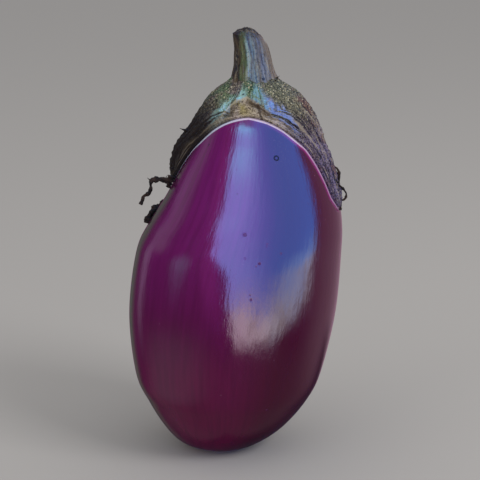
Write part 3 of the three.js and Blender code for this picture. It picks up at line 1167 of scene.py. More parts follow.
@dataclass
class Fruit:
    """The fruit's body.

    Attributes are the driving sizes, in millimetres:
        soft_height: height of the skin's soft unevenness.
        scar_radius: radius of the hollow scar under the fruit, and scar_depth its depth.
        rim_places: how many places of the calyx's margin the distance is measured from.
    """

    skin: Skin
    soft: Ripples = Ripples(3, 0.5, 1.5, 16)
    soft_height: float = 0.14
    columns: int = 256
    rows: int = 200
    spot_rows: int = 8
    scar_radius: float = 5.0
    scar_depth: float = 0.9
    rim_places: int = 2880

    def build(self, calyx: Calyx) -> Piece:
        """Builds the body as one closed skin, with its distance from the calyx's margin.

        Args:
            calyx: the calyx whose margin shades the skin.

        Returns:
            The fruit object.
        """
        azimuth = np.linspace(-180, 180, self.columns, endpoint=False)
        reach = np.linspace(0, self.skin.length, self.rows + 1)[1:, None]
        spread, down = np.broadcast_arrays(azimuth[None], reach)
        angle = np.radians(spread)
        soft = self.soft.at(np.stack([np.cos(angle), np.sin(angle), down / 70.0], axis=-1))
        fade = smooth(self.skin.length - down, 2, 30) * smooth(down, 10, 40)
        rings = self.skin.point(spread, down, self.soft_height * soft * fade)
        rings[-1, :, 2] = 0.0
        flat = []
        for row in range(1, self.spot_rows):
            ring = rings[-1] * (1 - row / self.spot_rows)
            away = np.hypot(ring[:, 0], ring[:, 1])
            ring[:, 2] = self.scar_depth * bell(away, self.scar_radius / 2)
            flat.append(ring)
        rings = np.concatenate([rings, np.array(flat)])
        top = self.skin.point(np.zeros(1), np.zeros(1), np.zeros(1))[0]
        piece = net_mesh("fruit_body", rings, top, np.array([0.0, 0.0, self.scar_depth]))
        keep_values(piece, "rim", self.rim_distance(piece, calyx))
        every = np.concatenate([down, np.full((len(flat), self.columns), self.skin.length)])
        around = np.radians(np.broadcast_to(azimuth, every.shape))
        grain = np.stack([np.cos(around), np.sin(around), every / 60.0], axis=-1)
        keep_values(piece, "grain", on_net(grain, np.zeros(3), np.zeros(3)))
        return piece

    def rim_distance(self, piece: Piece, calyx: Calyx) -> Array:
        """Measures how far each vertex lies from the calyx's margin.

        Args:
            piece: the fruit.
            calyx: the calyx.

        Returns:
            Millimetres, one for each vertex.
        """
        azimuth = np.linspace(-180, 180, self.rim_places, endpoint=False)
        reach = calyx.margin(azimuth)
        line = self.skin.point(azimuth + calyx.turn(azimuth, reach), reach, np.zeros_like(reach))
        tree = kdtree.KDTree(len(line))
        for index, place in enumerate(line):
            tree.insert(Vector(place), index)
        tree.balance()
        return np.array([tree.find(vertex.co / MM)[2] for vertex in piece.data.vertices])


@dataclass(frozen=True)
class Strand:
    """A dried strand.

    Attributes:
        radius: radius at the root, in millimetres.
        points: its middle line, in millimetres.
        thorns: places of its thorns, as shares of its length.
        taper: radius at the end as a share of the radius at the root.
    """

    radius: float
    points: tuple[Point, ...]
    thorns: tuple[float, ...] = ()
    taper: float = 0.5


@dataclass
class DriedEnds:
    """The dark, brittle ends of the sepals, in millimetres. A strand has sides columns and steps rings."""

    skin: Skin
    sides: int = 14
    steps: int = 90
    shrunk: float = 0.86
    thorn_height: float = 2.6
    thorn_lean: float = 0.8
    thorn_radius: float = 0.7
    first_seed: int = 50
    seed_step: int = 10

    def strands(self) -> dict[str, list[Strand]]:
        """The strands of each dried end.

        Returns:
            Node name to its strands.
        """
        return {
            "dry_tip_left": [
                Strand(
                    1.5,
                    (
                        (-23.6, -1.6, 134.0), (-25.2, -2.0, 132.9), (-26.9, -2.0, 133.1),
                        (-29.1, -2.0, 133.5), (-31.4, -2.2, 133.4), (-32.9, -2.4, 133.2),
                        (-33.5, -2.6, 131.4), (-33.5, -2.6, 129.2), (-34.5, -2.6, 126.8),
                        (-36.9, -2.8, 125.5), (-37.5, -3.0, 123.7), (-38.5, -3.4, 121.6),
                    ),
                    (0.16, 0.44),
                ),
                Strand(2.0, ((-23.2, -1.8, 135.0), (-24.3, -1.8, 132.4), (-25.3, -1.8, 129.6))),
            ],
            "dry_tip_right": [
                Strand(
                    0.85,
                    (
                        (54.9, -8.6, 127.0), (54.2, -7.0, 131.6), (55.4, -5.4, 133.8), (55.5, -3.8, 136.8),
                        (54.2, -3.5, 139.4), (51.4, -4.0, 140.6),
                    ),
                ),
                Strand(
                    0.8,
                    (
                        (53.4, -8.6, 134.2), (54.9, -7.0, 131.9), (57.3, -6.0, 129.8), (58.9, -5.6, 127.4),
                        (58.5, -6.0, 125.2), (56.8, -7.0, 124.5), (55.2, -9.0, 125.8),
                    ),
                ),
                Strand(
                    1.1,
                    ((54.6, -9.6, 128.0), (55.4, -9.8, 124.6), (56.0, -9.8, 122.2), (56.0, -9.8, 120.4)),
                ),
            ],
            "dry_tip_back_left": [
                Strand(
                    2.3,
                    (
                        self.place(-121, 76, 1.8),
                        self.place(-114, 79.5, 2.0),
                        (-32.6, 8.2, 115.9), (-34.3, 6.2, 114.7), (-35.4, 5.0, 112.6), (-35.9, 4.2, 110.8),
                    ),
                    (),
                    0.75,
                )
            ],
            "dry_tip_back": [
                self.curl(1.3, ((166.5, 75.4, 1.8), (162, 80, 3.8), (166, 85, 3.4), (171, 87, 1.9)))
            ],
            "dry_tip_back_right": [
                self.curl(1.3, ((136.6, 72.4, 1.8), (141, 77, 3.6), (138, 83, 2.4), (134, 85, 1.9)))
            ],
        }

    def place(self, azimuth: float, reach: float, lift: float) -> Point:
        """A point over the skin, in millimetres."""
        found = self.skin.point(np.array([azimuth]), np.array([reach]), np.array([lift]))[0]
        return tuple(float(part) for part in found)

    def curl(self, radius: float, places: tuple[Point, ...]) -> Strand:
        """A strand along the skin, through places of azimuth, reach and lift."""
        return Strand(radius, tuple(self.place(*place) for place in places))

    def tube(self, strand: Strand, seed: int) -> tuple[Array, Array]:
        """Rings of a shrivelled tapering tube.

        Args:
            strand: the strand to follow.
            seed: seed of its wrinkles.

        Returns:
            The rings in millimetres, and the middle line.
        """
        line = curve_samples(list(strand.points), 40)
        steps = np.linalg.norm(np.diff(line, axis=0), axis=1)
        lengths = np.concatenate([[0], np.cumsum(steps)])
        even = np.linspace(0, lengths[-1], self.steps)
        line = np.stack([np.interp(even, lengths, line[:, i]) for i in range(3)], axis=-1)
        ways = np.gradient(line, axis=0)
        ways /= np.linalg.norm(ways, axis=1, keepdims=True)
        normal = np.cross(ways[0], (0.3, 0.9, 0.2))
        draw = np.random.default_rng(seed)
        phases = draw.uniform(0, 6.3, 6)
        angle = np.linspace(0, 2 * math.pi, self.sides, endpoint=False)
        rings = []
        for index, way in enumerate(ways):
            normal = normal - way * np.dot(normal, way)
            normal /= np.linalg.norm(normal)
            across = np.cross(way, normal)
            along = index / (self.steps - 1)
            thick = self.shrunk * strand.radius * mix(1.0, strand.taper, along)
            thick *= 1 + 0.2 * math.sin(21 * along)
            thick *= 1 + 0.14 * math.sin(47 * along + phases[0]) + 0.06 * math.sin(113 * along + phases[3])
            twist = 5.0 * along + phases[1]
            flat = 1 + 0.22 * np.cos(2 * (angle - twist)) + 0.1 * np.cos(5 * (angle - twist) + phases[2])
            offset = np.cos(angle)[:, None] * normal + np.sin(angle)[:, None] * across
            rings.append(line[index] + thick * flat[:, None] * offset)
        return np.array(rings), line

    def build(self, name: str, strands: list[Strand], seed: int) -> Piece:
        """Builds one dried end from its strands.

        Args:
            name: the piece's name.
            strands: its strands.
            seed: seed of the wrinkles.

        Returns:
            The dried end.
        """
        parts = []
        for index, strand in enumerate(strands):
            rings, line = self.tube(strand, seed + index)
            parts.append(net_mesh(f"{name}_{index}", rings, line[0], line[-1]))
            for thorn in strand.thorns:
                parts.append(self.thorn(f"{name}_thorn", line, thorn))
        return joined(name, parts)

    def thorn(self, name: str, line: Array, along: float) -> Piece:
        """A small thorn that stands on a strand.

        Args:
            name: the thorn's name.
            line: the strand's middle line.
            along: its place, as a share of the strand's length.

        Returns:
            The thorn.
        """
        row = int(along * (len(line) - 1))
        way = line[min(row + 1, len(line) - 1)] - line[row - 1]
        way /= np.linalg.norm(way)
        up = np.array([0.0, 0.0, 1.0])
        up -= way * np.dot(up, way)
        up /= np.linalg.norm(up)
        tip = line[row] + up * self.thorn_height - way * self.thorn_lean
        return cone(name, line[row], tip, self.thorn_radius)


def cone(name: str, root: Array, tip: Array, radius: float) -> Piece:
    """A slightly hollow-sided thorn from root to tip.

    Args:
        name: the object's name.
        root: middle of its foot, in millimetres.
        tip: its point.
        radius: radius of the foot.

    Returns:
        The thorn.
    """
    way = (tip - root) / np.linalg.norm(tip - root)
    side = np.cross(way, (0.2, 0.5, 0.9))
    side /= np.linalg.norm(side)
    across = np.cross(way, side)
    angle = np.linspace(0, 2 * math.pi, 10, endpoint=False)
    rings = []
    for share in (1.0, 0.8, 0.6, 0.4, 0.2, 0.0):
        around = radius * (0.08 + 0.92 * (1 - share) ** 1.6)
        offset = np.cos(angle)[:, None] * side + np.sin(angle)[:, None] * across
        rings.append(mix(root, tip, share) + around * offset)
    return net_mesh(name, np.array(rings), tip, root)


def joined(name: str, parts: list[Piece]) -> Piece:
    """Joins pieces into the first of them.

    Args:
        name: the name of the joined piece.
        parts: the pieces.

    Returns:
        The joined piece.
    """
    first = parts[0]
    if len(parts) > 1:
        with bpy.context.temp_override(active_object=first, selected_editable_objects=parts):
            bpy.ops.object.join()
    first.name = name
    first.data.name = name
    return first


@dataclass(frozen=True)
class SkinMark:
    """A mark on the skin: azimuth, reach, radius in millimetres, how dark it is, and whether it is a ring."""

    azimuth: float
    reach: float
    radius: float
    depth: float
    ringed: bool = False


@dataclass(frozen=True)
class Here:
    """Where a shaded point lies: its place, grain, height, azimuth, and 1 on the back side."""

    place: Socket
    grain: Socket
    high: Socket
    across: Socket
    behind: Socket


@dataclass(frozen=True)
class SkinFinish:
    """Glossy purple skin, pale and pink where the calyx shaded it until lately, and darker on both flanks with
    painted shade.

    The ramps over zones read the height in metres, those over sides the azimuth in degrees, and those
    over the margin the distance from the calyx in millimetres.
    """

    purple: Colour = linear(102, 22, 94)
    plum: Colour = linear(86, 17, 64)
    crimson: Colour = linear(98, 16, 62)
    shaded_maroon: Colour = linear(58, 11, 32)
    # Painted shade: maroon towards the right flank, dusky grey-purple towards the left flank.
    shaded_dusky: Colour = linear(52, 30, 38)
    magenta: Colour = linear(112, 28, 98)
    streaked: Colour = linear(60, 12, 46)
    freckle: Colour = linear(170, 130, 160)
    ring: Colour = linear(22, 6, 14)
    soft_spot: Colour = linear(74, 12, 44)
    shaded: Colour = linear(216, 198, 224)
    # Painted reflection: the pale line's bluish tint on the left, as if it mirrored the sky.
    sky_tinted_pale: Colour = linear(204, 206, 230)
    pink: Colour = linear(150, 44, 124)
    cork: Colour = linear(120, 92, 74)
    back_side: Ramp = Ramp(105, 172)
    zone_edge: Noise = Noise(22)
    zone_drift: float = 0.05
    upper_zone: Ramp = Ramp(0.055, 0.135)
    foot_zone: Ramp = Ramp(0.075, 0.02)
    right_side: Ramp = Ramp(-2, 36, 0, 0.9)
    right_slant: float = 90.0
    left_side: Ramp = Ramp(-58, -82, 0, 0.75)
    left_end: Ramp = Ramp(-160, -110)
    strip: Ramp = Ramp(7, 1.5, 0, 0.7)
    strip_zone: Ramp = Ramp(0.07, 0.095)
    strip_slant: float = 260.0
    strip_start: float = 10.0
    streaks: Noise = Noise(5, 4)
    streak_share: Ramp = Ramp(0.3, 0.72, 0, 0.32)
    margin_edge: Noise = Noise(90)
    margin_wander: float = 0.9
    flush_margin: Ramp = Ramp(3, 0.9)
    flush_side: Ramp = Ramp(4, 50, 0.12, 0.85)
    flush_end: Ramp = Ramp(62, 80, 1, 0.5)
    flush_behind: float = 0.73
    sky_tint_side: Ramp = Ramp(-10, -40)
    pale_margin: Ramp = Ramp(1.35, 0.8)
    pale_side: Ramp = Ramp(38, 60, 1, 0.45)
    freckles: Specks = Specks(210.0, 0.07, 0.12)
    freckle_share: float = 0.14
    scar_height: Ramp = Ramp(0.0012, 0)
    scar_radius: Ramp = Ramp(0.006, 0.003)
    ripples: Noise = Noise(24, 3, 0.6)
    ripple_height: float = 1.4
    bumps: Bumps = Bumps(0.22, 0.0004)
    gloss: Noise = Noise(45)
    roughness: Ramp = Ramp(0.3, 0.7, 0.11, 0.16)
    scar_roughness: float = 0.5
    mark_roughness: float = 0.75
    specular: float = 0.5
    refraction: float = 1.5
    coat: float = 0.25
    coat_roughness: float = 0.06
    marks: tuple[SkinMark, ...] = (
        SkinMark(17.6, 41.2, 1.2, 1, True), SkinMark(-1.9, 76.5, 1.5, 0.6), SkinMark(10, 90, 1, 0.75),
        SkinMark(8.5, 91.2, 0.6, 0.5), SkinMark(12, 81, 0.8, 0.45), SkinMark(12.1, 82.2, 0.7, 0.4),
        SkinMark(21, 86, 0.8, 0.6), SkinMark(1.6, 87.4, 0.9, 0.4), SkinMark(8.1, 106.6, 0.9, 0.6),
        SkinMark(7.4, 104.4, 0.7, 0.4), SkinMark(-50.9, 36.6, 0.8, 0.9), SkinMark(-73.9, 82.5, 0.7, 0.9),
        SkinMark(45.3, 63, 0.9, 0.8), SkinMark(-12, 58, 0.5, 0.4), SkinMark(25.3, 163.7, 0.8, 0.5),
        SkinMark(140, 110, 0.9, 0.6), SkinMark(-150, 140, 0.8, 0.6),
    )

    def build(self, skin: Skin) -> bpy.types.Material:
        """Builds the material.

        Args:
            skin: the skin that the marks are placed on.

        Returns:
            The material.
        """
        material, tree = new_material("purple_skin")
        place = tree.add("TexCoord").outputs["Object"]
        grain = tree.vector_of("grain")
        across = tree.azimuth(grain)
        here = Here(place, grain, tree.height(place), across, tree.step(across, self.back_side))
        colour = self.margin(tree, here, self.zones(tree, here))
        freckled = tree.times(self.freckles.place(tree, place), self.freckle_share)
        colour = tree.blend(freckled, colour, self.freckle)
        colour, dip = self.marked(tree, here, skin, colour)
        scar = self.scar(tree, here)
        ripple = tree.noise(tree.scaled(grain, (1.0, 1.0, 0.3)), self.ripples)
        height = tree.minus(tree.times(ripple, self.ripple_height), dip)
        rough = tree.step(tree.noise(place, self.gloss), self.roughness)
        rough = tree.math("MULTIPLY_ADD", scar, self.scar_roughness, rough)
        rough = tree.math("MULTIPLY_ADD", dip, self.mark_roughness, rough)
        colour = tree.blend(scar, colour, self.cork)
        shader = tree.principled(colour, rough, self.specular, tree.bump(height, self.bumps))
        tree.feed(shader.inputs["Coat Weight"], tree.math("MULTIPLY_ADD", dip, -self.coat, self.coat))
        shader.inputs["IOR"].default_value = self.refraction
        shader.inputs["Coat Roughness"].default_value = self.coat_roughness
        return material

    def zones(self, tree: Tree, here: Here) -> Socket:
        """Lays the skin's broad colours over each other, with painted shade that darkens both flanks.

        Args:
            tree: the material's tree.
            here: where the shaded point lies.

        Returns:
            The colour.
        """
        drift = tree.times(tree.minus(tree.noise(here.place, self.zone_edge), 0.5), self.zone_drift)
        high = tree.plus(here.high, drift)
        colour = tree.blend(tree.step(high, self.upper_zone), self.plum, self.purple)
        colour = tree.blend(tree.step(high, self.foot_zone), colour, self.crimson)
        # Painted shade: the skin turns maroon towards the right flank.
        right = tree.math("MULTIPLY_ADD", here.high, self.right_slant, here.across)
        right = tree.times(tree.step(right, self.right_side), tree.minus(1.0, here.behind))
        colour = tree.blend(right, colour, self.shaded_maroon)
        # Painted shade: the skin turns dusky and greyer towards the left flank.
        left = tree.times(tree.step(here.across, self.left_side), tree.step(here.across, self.left_end))
        colour = tree.blend(left, colour, self.shaded_dusky)
        strip = tree.math("MULTIPLY_ADD", here.high, self.strip_slant, here.across)
        strip = tree.step(tree.apart(strip, self.strip_start), self.strip)
        strip = tree.times(strip, tree.step(here.high, self.strip_zone))
        colour = tree.blend(strip, colour, self.magenta)
        streak = tree.noise(tree.scaled(here.grain, (3.0, 3.0, 0.35)), self.streaks)
        return tree.blend(tree.step(streak, self.streak_share), colour, self.streaked)

    def margin(self, tree: Tree, here: Here, colour: Socket) -> Socket:
        """Adds the pink flush and the pale line beside the calyx, whose left part is tinted blue as a painted
        sky reflection.

        Args:
            tree: the material's tree.
            here: where the shaded point lies.
            colour: the colour so far.

        Returns:
            The colour.
        """
        wander = tree.times(tree.minus(tree.noise(here.place, self.margin_edge), 0.5), self.margin_wander)
        rim = tree.plus(tree.value_of("rim"), wander)
        flush = tree.step(here.across, self.flush_side)
        flush = tree.math("MULTIPLY_ADD", here.behind, -self.flush_behind, flush)
        flush = tree.times(flush, tree.larger(tree.step(here.across, self.flush_end), here.behind))
        colour = tree.blend(tree.times(tree.step(rim, self.flush_margin), flush), colour, self.pink)
        # Painted reflection: the pale line turns bluish towards the left.
        sky_tint = tree.larger(tree.step(here.across, self.sky_tint_side), here.behind)
        pale = tree.blend(sky_tint, self.shaded, self.sky_tinted_pale)
        faint = tree.larger(tree.step(here.across, self.pale_side), here.behind)
        return tree.blend(tree.times(tree.step(rim, self.pale_margin), faint), colour, pale)

    def marked(self, tree: Tree, here: Here, skin: Skin, colour: Socket) -> tuple[Socket, Socket]:
        """Adds the healed pricks and soft spots.

        Args:
            tree: the material's tree.
            here: where the shaded point lies.
            skin: the skin that they are placed on.
            colour: the colour so far.

        Returns:
            The colour, and how deep the point lies in a mark.
        """
        dip = None
        for mark in self.marks:
            centre = skin.point(np.array([mark.azimuth]), np.array([mark.reach]), np.zeros(1))[0] * MM
            centre = tuple(float(part) for part in centre)
            ends = Groups.MARK.place(tree, Place=here.place, Centre=centre, Radius=mark.radius * MM)
            share = tree.times(ends["Ring" if mark.ringed else "Spot"], mark.depth)
            colour = tree.blend(share, colour, self.ring if mark.ringed else self.soft_spot)
            dip = share if dip is None else tree.larger(dip, share)
        return colour, dip

    def scar(self, tree: Tree, here: Here) -> Socket:
        """1 on the corky scar in the middle of the flat spot."""
        away = tree.vector("LENGTH", tree.scaled(here.place, (1.0, 1.0, 0.0))).outputs["Value"]
        return tree.times(tree.step(here.high, self.scar_height), tree.step(away, self.scar_radius))


@dataclass(frozen=True)
class OnCap:
    """What the calyx's finish reads: where the shaded point lies, and the patterns there."""

    here: Here
    edge: Socket
    reach: Socket
    above: Socket
    withered_and_shaded: Socket
    web: Socket
    fibre: Socket
    blotch: Socket
    patch: Socket
    grit: Socket


@dataclass(frozen=True)
class CalyxFinish:
    """Woody cap: green at the crown, brown and purple fibres down the sepals, corky under the arch. Its colours
    also hold painted light: shade on the left side and in the ridge's crease, a highlight along the ridge, and
    a sky sheen on the waxy band.

    The ramps over sides read the azimuth in degrees, those over reaches, the ridge and the margin read
    millimetres, and those over fibres, patches and grit read the pattern, from 0 to 1.
    """

    green: Colour = linear(92, 114, 78)
    olive: Colour = linear(124, 116, 98)
    brown: Colour = linear(96, 80, 84)
    purple: Colour = linear(122, 108, 136)
    umber_shade: Colour = linear(66, 57, 50)
    tan: Colour = linear(158, 144, 124)
    cream_and_highlight: Colour = linear(172, 164, 140)
    # Cream of the specks, also used for the painted highlight along the ridge.
    cork: Colour = linear(184, 168, 158)
    moss: Colour = linear(150, 138, 92)
    russet: Colour = linear(104, 62, 56)
    # Dark colour of the cork's fissures and cracks, also used for painted shade in the ridge's crease.
    fissure_and_crease_shade: Colour = linear(62, 48, 34)
    char_shade: Colour = linear(38, 30, 24)
    # Painted sky reflection: teal, mint and lilac sheen on the waxy band by the ridge.
    sky_sheen_teal: Colour = linear(146, 186, 178)
    sky_sheen_mint: Colour = linear(108, 140, 120)
    sky_sheen_lilac: Colour = linear(112, 124, 170)
    dark: Colour = linear(22, 17, 18)
    back_side: Ramp = Ramp(140, 176)
    patches: Noise = Noise(95, 4, 0.62)
    grains: Noise = Noise(1250, 2, 0.6)
    right_side: Ramp = Ramp(-52, -16)
    sepal_reach: Ramp = Ramp(22, 40)
    blotch_share: float = 0.6
    green_reach: Ramp = Ramp(27, 10)
    green_patch: Ramp = Ramp(0.6, 0.46)
    green_side: Ramp = Ramp(34, 4, 0.35, 1)
    stalk_reach: Ramp = Ramp(16.5, 13)
    stalk_wander: float = 12.0
    russet_side: Ramp = Ramp(20, 60)
    russet_patch: Ramp = Ramp(0.52, 0.62, 0, 0.6)
    wax_fibre: Ramp = Ramp(0.05, 0.45)
    wax_patch: Ramp = Ramp(0.28, 0.38)
    wax_crumbs: Noise = Noise(420, 4, 0.7)
    wax_crumb: Ramp = Ramp(0.34, 0.46, 0.3, 1.5)
    sheen_share: float = 0.85
    sheen_mint_side: Ramp = Ramp(-14, 0)
    sheen_lilac_side: Ramp = Ramp(6, 22)
    bared: float = 0.7
    dark_grit: Ramp = Ramp(0.56, 0.38, 0, 0.8)
    tan_grit: Ramp = Ramp(0.58, 0.68, 0, 0.5)
    specks: Specks = Specks(880.0, 0.32, 0.42)
    speck_reach: Ramp = Ramp(46, 14, 0.15, 1)
    fibre_reach: Ramp = Ramp(14, 28, 0.3, 1)
    dark_fibre: Ramp = Ramp(0.38, 0, 0, 0.85)
    bright_fibre: Ramp = Ramp(0.75, 1, 0, 0.55)
    field_scale: float = 0.07
    cracks: Noise = Noise(1.7, 6, 0.85)
    crack: Ramp = Ramp(0.43, 0.5, 0.1, 1)
    moss_patch: Ramp = Ramp(0.42, 0.58)
    moss_side: Ramp = Ramp(4, -24, 0.3, 1)
    cork_grit: Ramp = Ramp(0.46, 0.36, 0, 0.7)
    left_arm: Ramp = Ramp(-22, -36)
    right_arm: Ramp = Ramp(24, 40)
    arm_fibre: Ramp = Ramp(0.75, 0.45, 0.25, 0.8)
    fold_start: float = 2.5
    fold: Ramp = Ramp(3.2, 0.8, 0, 0.85)
    fold_ridge: Ramp = Ramp(0, -1.2)
    cork_left: Ramp = Ramp(-44, -24, 0.2, 1)
    cork_right: Ramp = Ramp(54, 28, 0.4, 0.92)
    ridge_wander: float = 2.0
    crease_below: Ramp = Ramp(-2.6, -1.2)
    crease_above: Ramp = Ramp(0.2, -0.5)
    crease_left: Ramp = Ramp(-18, -8)
    crease_right: Ramp = Ramp(26, 12, 0.3, 0.85)
    crease_breaks: Noise = Noise(0.8, 4, 0.7)
    crease_break: Ramp = Ramp(0.4, 0.55)
    crease_margin: Ramp = Ramp(0.8, 2)
    brow_below: Ramp = Ramp(-0.7, -0.2, 0, 0.6)
    brow_above: Ramp = Ramp(0.6, 0.1)
    brow_left: Ramp = Ramp(-52, -40)
    brow_right: Ramp = Ramp(-6, -14)
    char_shade_share: float = 0.93
    seam_margin: Ramp = Ramp(3.2, 1)
    seam_fibre: Ramp = Ramp(0.75, 1, 0, 0.3)
    pits: Specks = Specks(300.0, 0.2, 0.1)
    pit_share: float = 0.8
    fibre_height: float = 0.7
    grit_height: float = 1.2
    bumps: Bumps = Bumps(0.85, 0.0006)
    roughness: Ramp = Ramp(0, 0.8, 0.7, 0.36)
    web_roughness: float = 0.25
    wax_coat: float = 0.9
    coat_roughness: float = 0.22
    specular: float = 0.09

    def build(self) -> bpy.types.Material:
        """Builds the material.

        Returns:
            The material.
        """
        material, tree = new_material("woody_calyx")
        on = self.read(tree)
        waxed_sheen = self.waxed_sheen(tree, on)
        colour = self.wood(tree, on)
        colour = self.crusted(tree, on, waxed_sheen, colour)
        colour = self.arched(tree, on, colour)
        colour = self.dried(tree, on, colour)
        height = tree.math("MULTIPLY_ADD", on.fibre, self.fibre_height, tree.times(on.grit, self.grit_height))
        rough = tree.plus(tree.step(waxed_sheen, self.roughness), tree.times(on.web, self.web_roughness))
        shader = tree.principled(colour, rough, self.specular, tree.bump(height, self.bumps))
        tree.feed(shader.inputs["Coat Weight"], tree.times(waxed_sheen, self.wax_coat))
        shader.inputs["Coat Roughness"].default_value = self.coat_roughness
        return material

    def read(self, tree: Tree) -> OnCap:
        """Reads what is kept on the mesh, and makes the patterns that the layers share.

        Args:
            tree: the material's tree.

        Returns:
            What the finish reads.
        """
        place = tree.add("TexCoord").outputs["Object"]
        grain = tree.vector_of("grain")
        across = tree.azimuth(tree.vector_of("around"))
        fibres = Groups.FIBRES.place(tree, Grain=grain, Fineness=20.0, Seed=1.0)
        return OnCap(
            here=Here(place, grain, tree.height(place), across, tree.step(across, self.back_side)),
            edge=tree.value_of("edge"),
            reach=tree.value_of("reach"),
            above=tree.value_of("above"),
            withered_and_shaded=tree.value_of("withered_and_shaded"),
            web=tree.value_of("web"),
            fibre=fibres["Fibre"],
            blotch=fibres["Blotch"],
            patch=tree.noise(place, self.patches),
            grit=tree.noise(place, self.grains),
        )

    def waxed_sheen(self, tree: Tree, on: OnCap) -> Socket:
        """How much waxy gloss, with the painted sky sheen on it, lies at a point.

        Args:
            tree: the material's tree.
            on: what the finish reads.

        Returns:
            0 to 1.
        """
        crumb = tree.step(tree.noise(on.here.place, self.wax_crumbs), self.wax_crumb)
        fibre, patch = tree.step(on.fibre, self.wax_fibre), tree.step(on.patch, self.wax_patch)
        return tree.math("MINIMUM", tree.times(tree.value_of("wax"), fibre, patch, crumb), 1.0)

    def wood(self, tree: Tree, on: OnCap) -> Socket:
        """Lays the broad colours over each other, with the partly painted shade of the dark left side and the
        stalk's bands at the crown.

        Args:
            tree: the material's tree.
            on: what the finish reads.

        Returns:
            The colour.
        """
        across, behind = on.here.across, on.here.behind
        # Dark umber on the left side, partly the calyx's own brown and partly painted shade; purple on the
        # right.
        lower = tree.blend(tree.step(across, self.right_side), self.umber_shade, self.purple)
        colour = tree.blend(tree.step(on.reach, self.sepal_reach), self.olive, lower)
        colour = tree.blend(tree.times(on.blotch, self.blotch_share), colour, self.brown)
        greener = tree.larger(tree.step(across, self.green_side), behind)
        greener = tree.times(greener, tree.step(on.reach, self.green_reach))
        greener = tree.times(greener, tree.step(on.patch, self.green_patch))
        colour = tree.blend(greener, colour, self.green)
        bands = Groups.STALK.place(tree, Azimuth=across, Place=on.here.place, Grain=on.here.grain)
        wander = tree.math("MULTIPLY_ADD", on.patch, self.stalk_wander, on.reach)
        colour = tree.blend(tree.step(wander, self.stalk_reach), colour, bands["Color"])
        russet = tree.minus(tree.step(across, self.russet_side), behind)
        return tree.blend(tree.times(russet, tree.step(on.patch, self.russet_patch)), colour, self.russet)

    def crusted(self, tree: Tree, on: OnCap, waxed_sheen: Socket, colour: Socket) -> Socket:
        """Adds the painted sky sheen on the waxy band, grit, specks and lengthwise fibres.

        Args:
            tree: the material's tree.
            on: what the finish reads.
            waxed_sheen: how much waxy gloss and painted sky sheen there is.
            colour: the colour so far.

        Returns:
            The colour.
        """
        # Painted reflection of the sky on the waxy band: teal on the left, mint at the front, lilac on the
        # right.
        painted_sheen = tree.blend(tree.step(on.here.across, self.sheen_mint_side), self.sky_sheen_teal, self.sky_sheen_mint)
        painted_sheen = tree.blend(tree.step(on.here.across, self.sheen_lilac_side), painted_sheen, self.sky_sheen_lilac)
        colour = tree.blend(tree.times(waxed_sheen, self.sheen_share), colour, painted_sheen)
        bare = tree.minus(1.0, tree.times(waxed_sheen, self.bared))
        colour = tree.blend(tree.times(tree.step(on.grit, self.dark_grit), bare), colour, self.dark)
        colour = tree.blend(tree.times(tree.step(on.grit, self.tan_grit), bare), colour, self.tan)
        specks = tree.times(self.specks.place(tree, on.here.place), tree.step(on.reach, self.speck_reach), bare)
        colour = tree.blend(specks, colour, self.cream_and_highlight)
        lower = tree.step(on.reach, self.fibre_reach)
        colour = tree.blend(tree.times(tree.step(on.fibre, self.dark_fibre), lower), colour, self.dark)
        return tree.blend(tree.times(tree.step(on.fibre, self.bright_fibre), lower), colour, self.tan)

    def arched(self, tree: Tree, on: OnCap, colour: Socket) -> Socket:
        """Adds the sunk corky field over the front arch, with its fold, the painted shade in the ridge's
        crease, and the painted highlight of its pale brow.

        Args:
            tree: the material's tree.
            on: what the finish reads.
            colour: the colour so far.

        Returns:
            The colour.
        """
        across = on.here.across
        field = tree.add("CombineXYZ", {"X": tree.times(across, self.field_scale), "Y": on.above}).outputs[0]
        mossy = tree.times(tree.step(on.patch, self.moss_patch), tree.step(across, self.moss_side))
        corky = tree.blend(mossy, self.cork, self.moss)
        corky = tree.blend(tree.step(tree.noise(field, self.cracks), self.crack), self.fissure_and_crease_shade, corky)
        corky = tree.blend(tree.step(on.grit, self.cork_grit), corky, self.fissure_and_crease_shade)
        arms = tree.larger(tree.step(across, self.left_arm), tree.step(across, self.right_arm))
        corky = tree.blend(tree.times(arms, tree.step(on.fibre, self.arm_fibre)), corky, self.fissure_and_crease_shade)
        fold = tree.math("ABSOLUTE", tree.plus(across, tree.minus(on.above, self.fold_start)))
        fold = tree.times(tree.step(fold, self.fold), tree.step(on.above, self.fold_ridge))
        corky = tree.blend(fold, corky, self.fissure_and_crease_shade)
        corked = tree.times(on.web, tree.step(across, self.cork_left), tree.step(across, self.cork_right))
        colour = tree.blend(corked, colour, corky)
        wander = tree.times(tree.minus(on.patch, 0.5), self.ridge_wander)
        above = tree.plus(on.above, wander)
        # Painted shade: a dark line in the crease just below the ridge.
        crease_shade = tree.times(
            tree.step(above, self.crease_below),
            tree.step(above, self.crease_above),
            tree.step(across, self.crease_left),
            tree.step(across, self.crease_right),
            tree.step(tree.noise(field, self.crease_breaks), self.crease_break),
            tree.step(on.edge, self.crease_margin),
        )
        colour = tree.blend(crease_shade, colour, self.fissure_and_crease_shade)
        # Painted highlight: a pale cream line along the top of the ridge's left arm.
        brow_highlight = tree.times(
            tree.step(above, self.brow_below),
            tree.step(above, self.brow_above),
            tree.step(across, self.brow_left),
            tree.step(across, self.brow_right),
        )
        return tree.blend(brow_highlight, colour, self.cream_and_highlight)

    def dried(self, tree: Tree, on: OnCap, colour: Socket) -> Socket:
        """Adds the dark left sepal, partly its dried tissue and partly painted shade, with its pale seam, and
        the pits.

        Args:
            tree: the material's tree.
            on: what the finish reads.
            colour: the colour so far.

        Returns:
            The colour.
        """
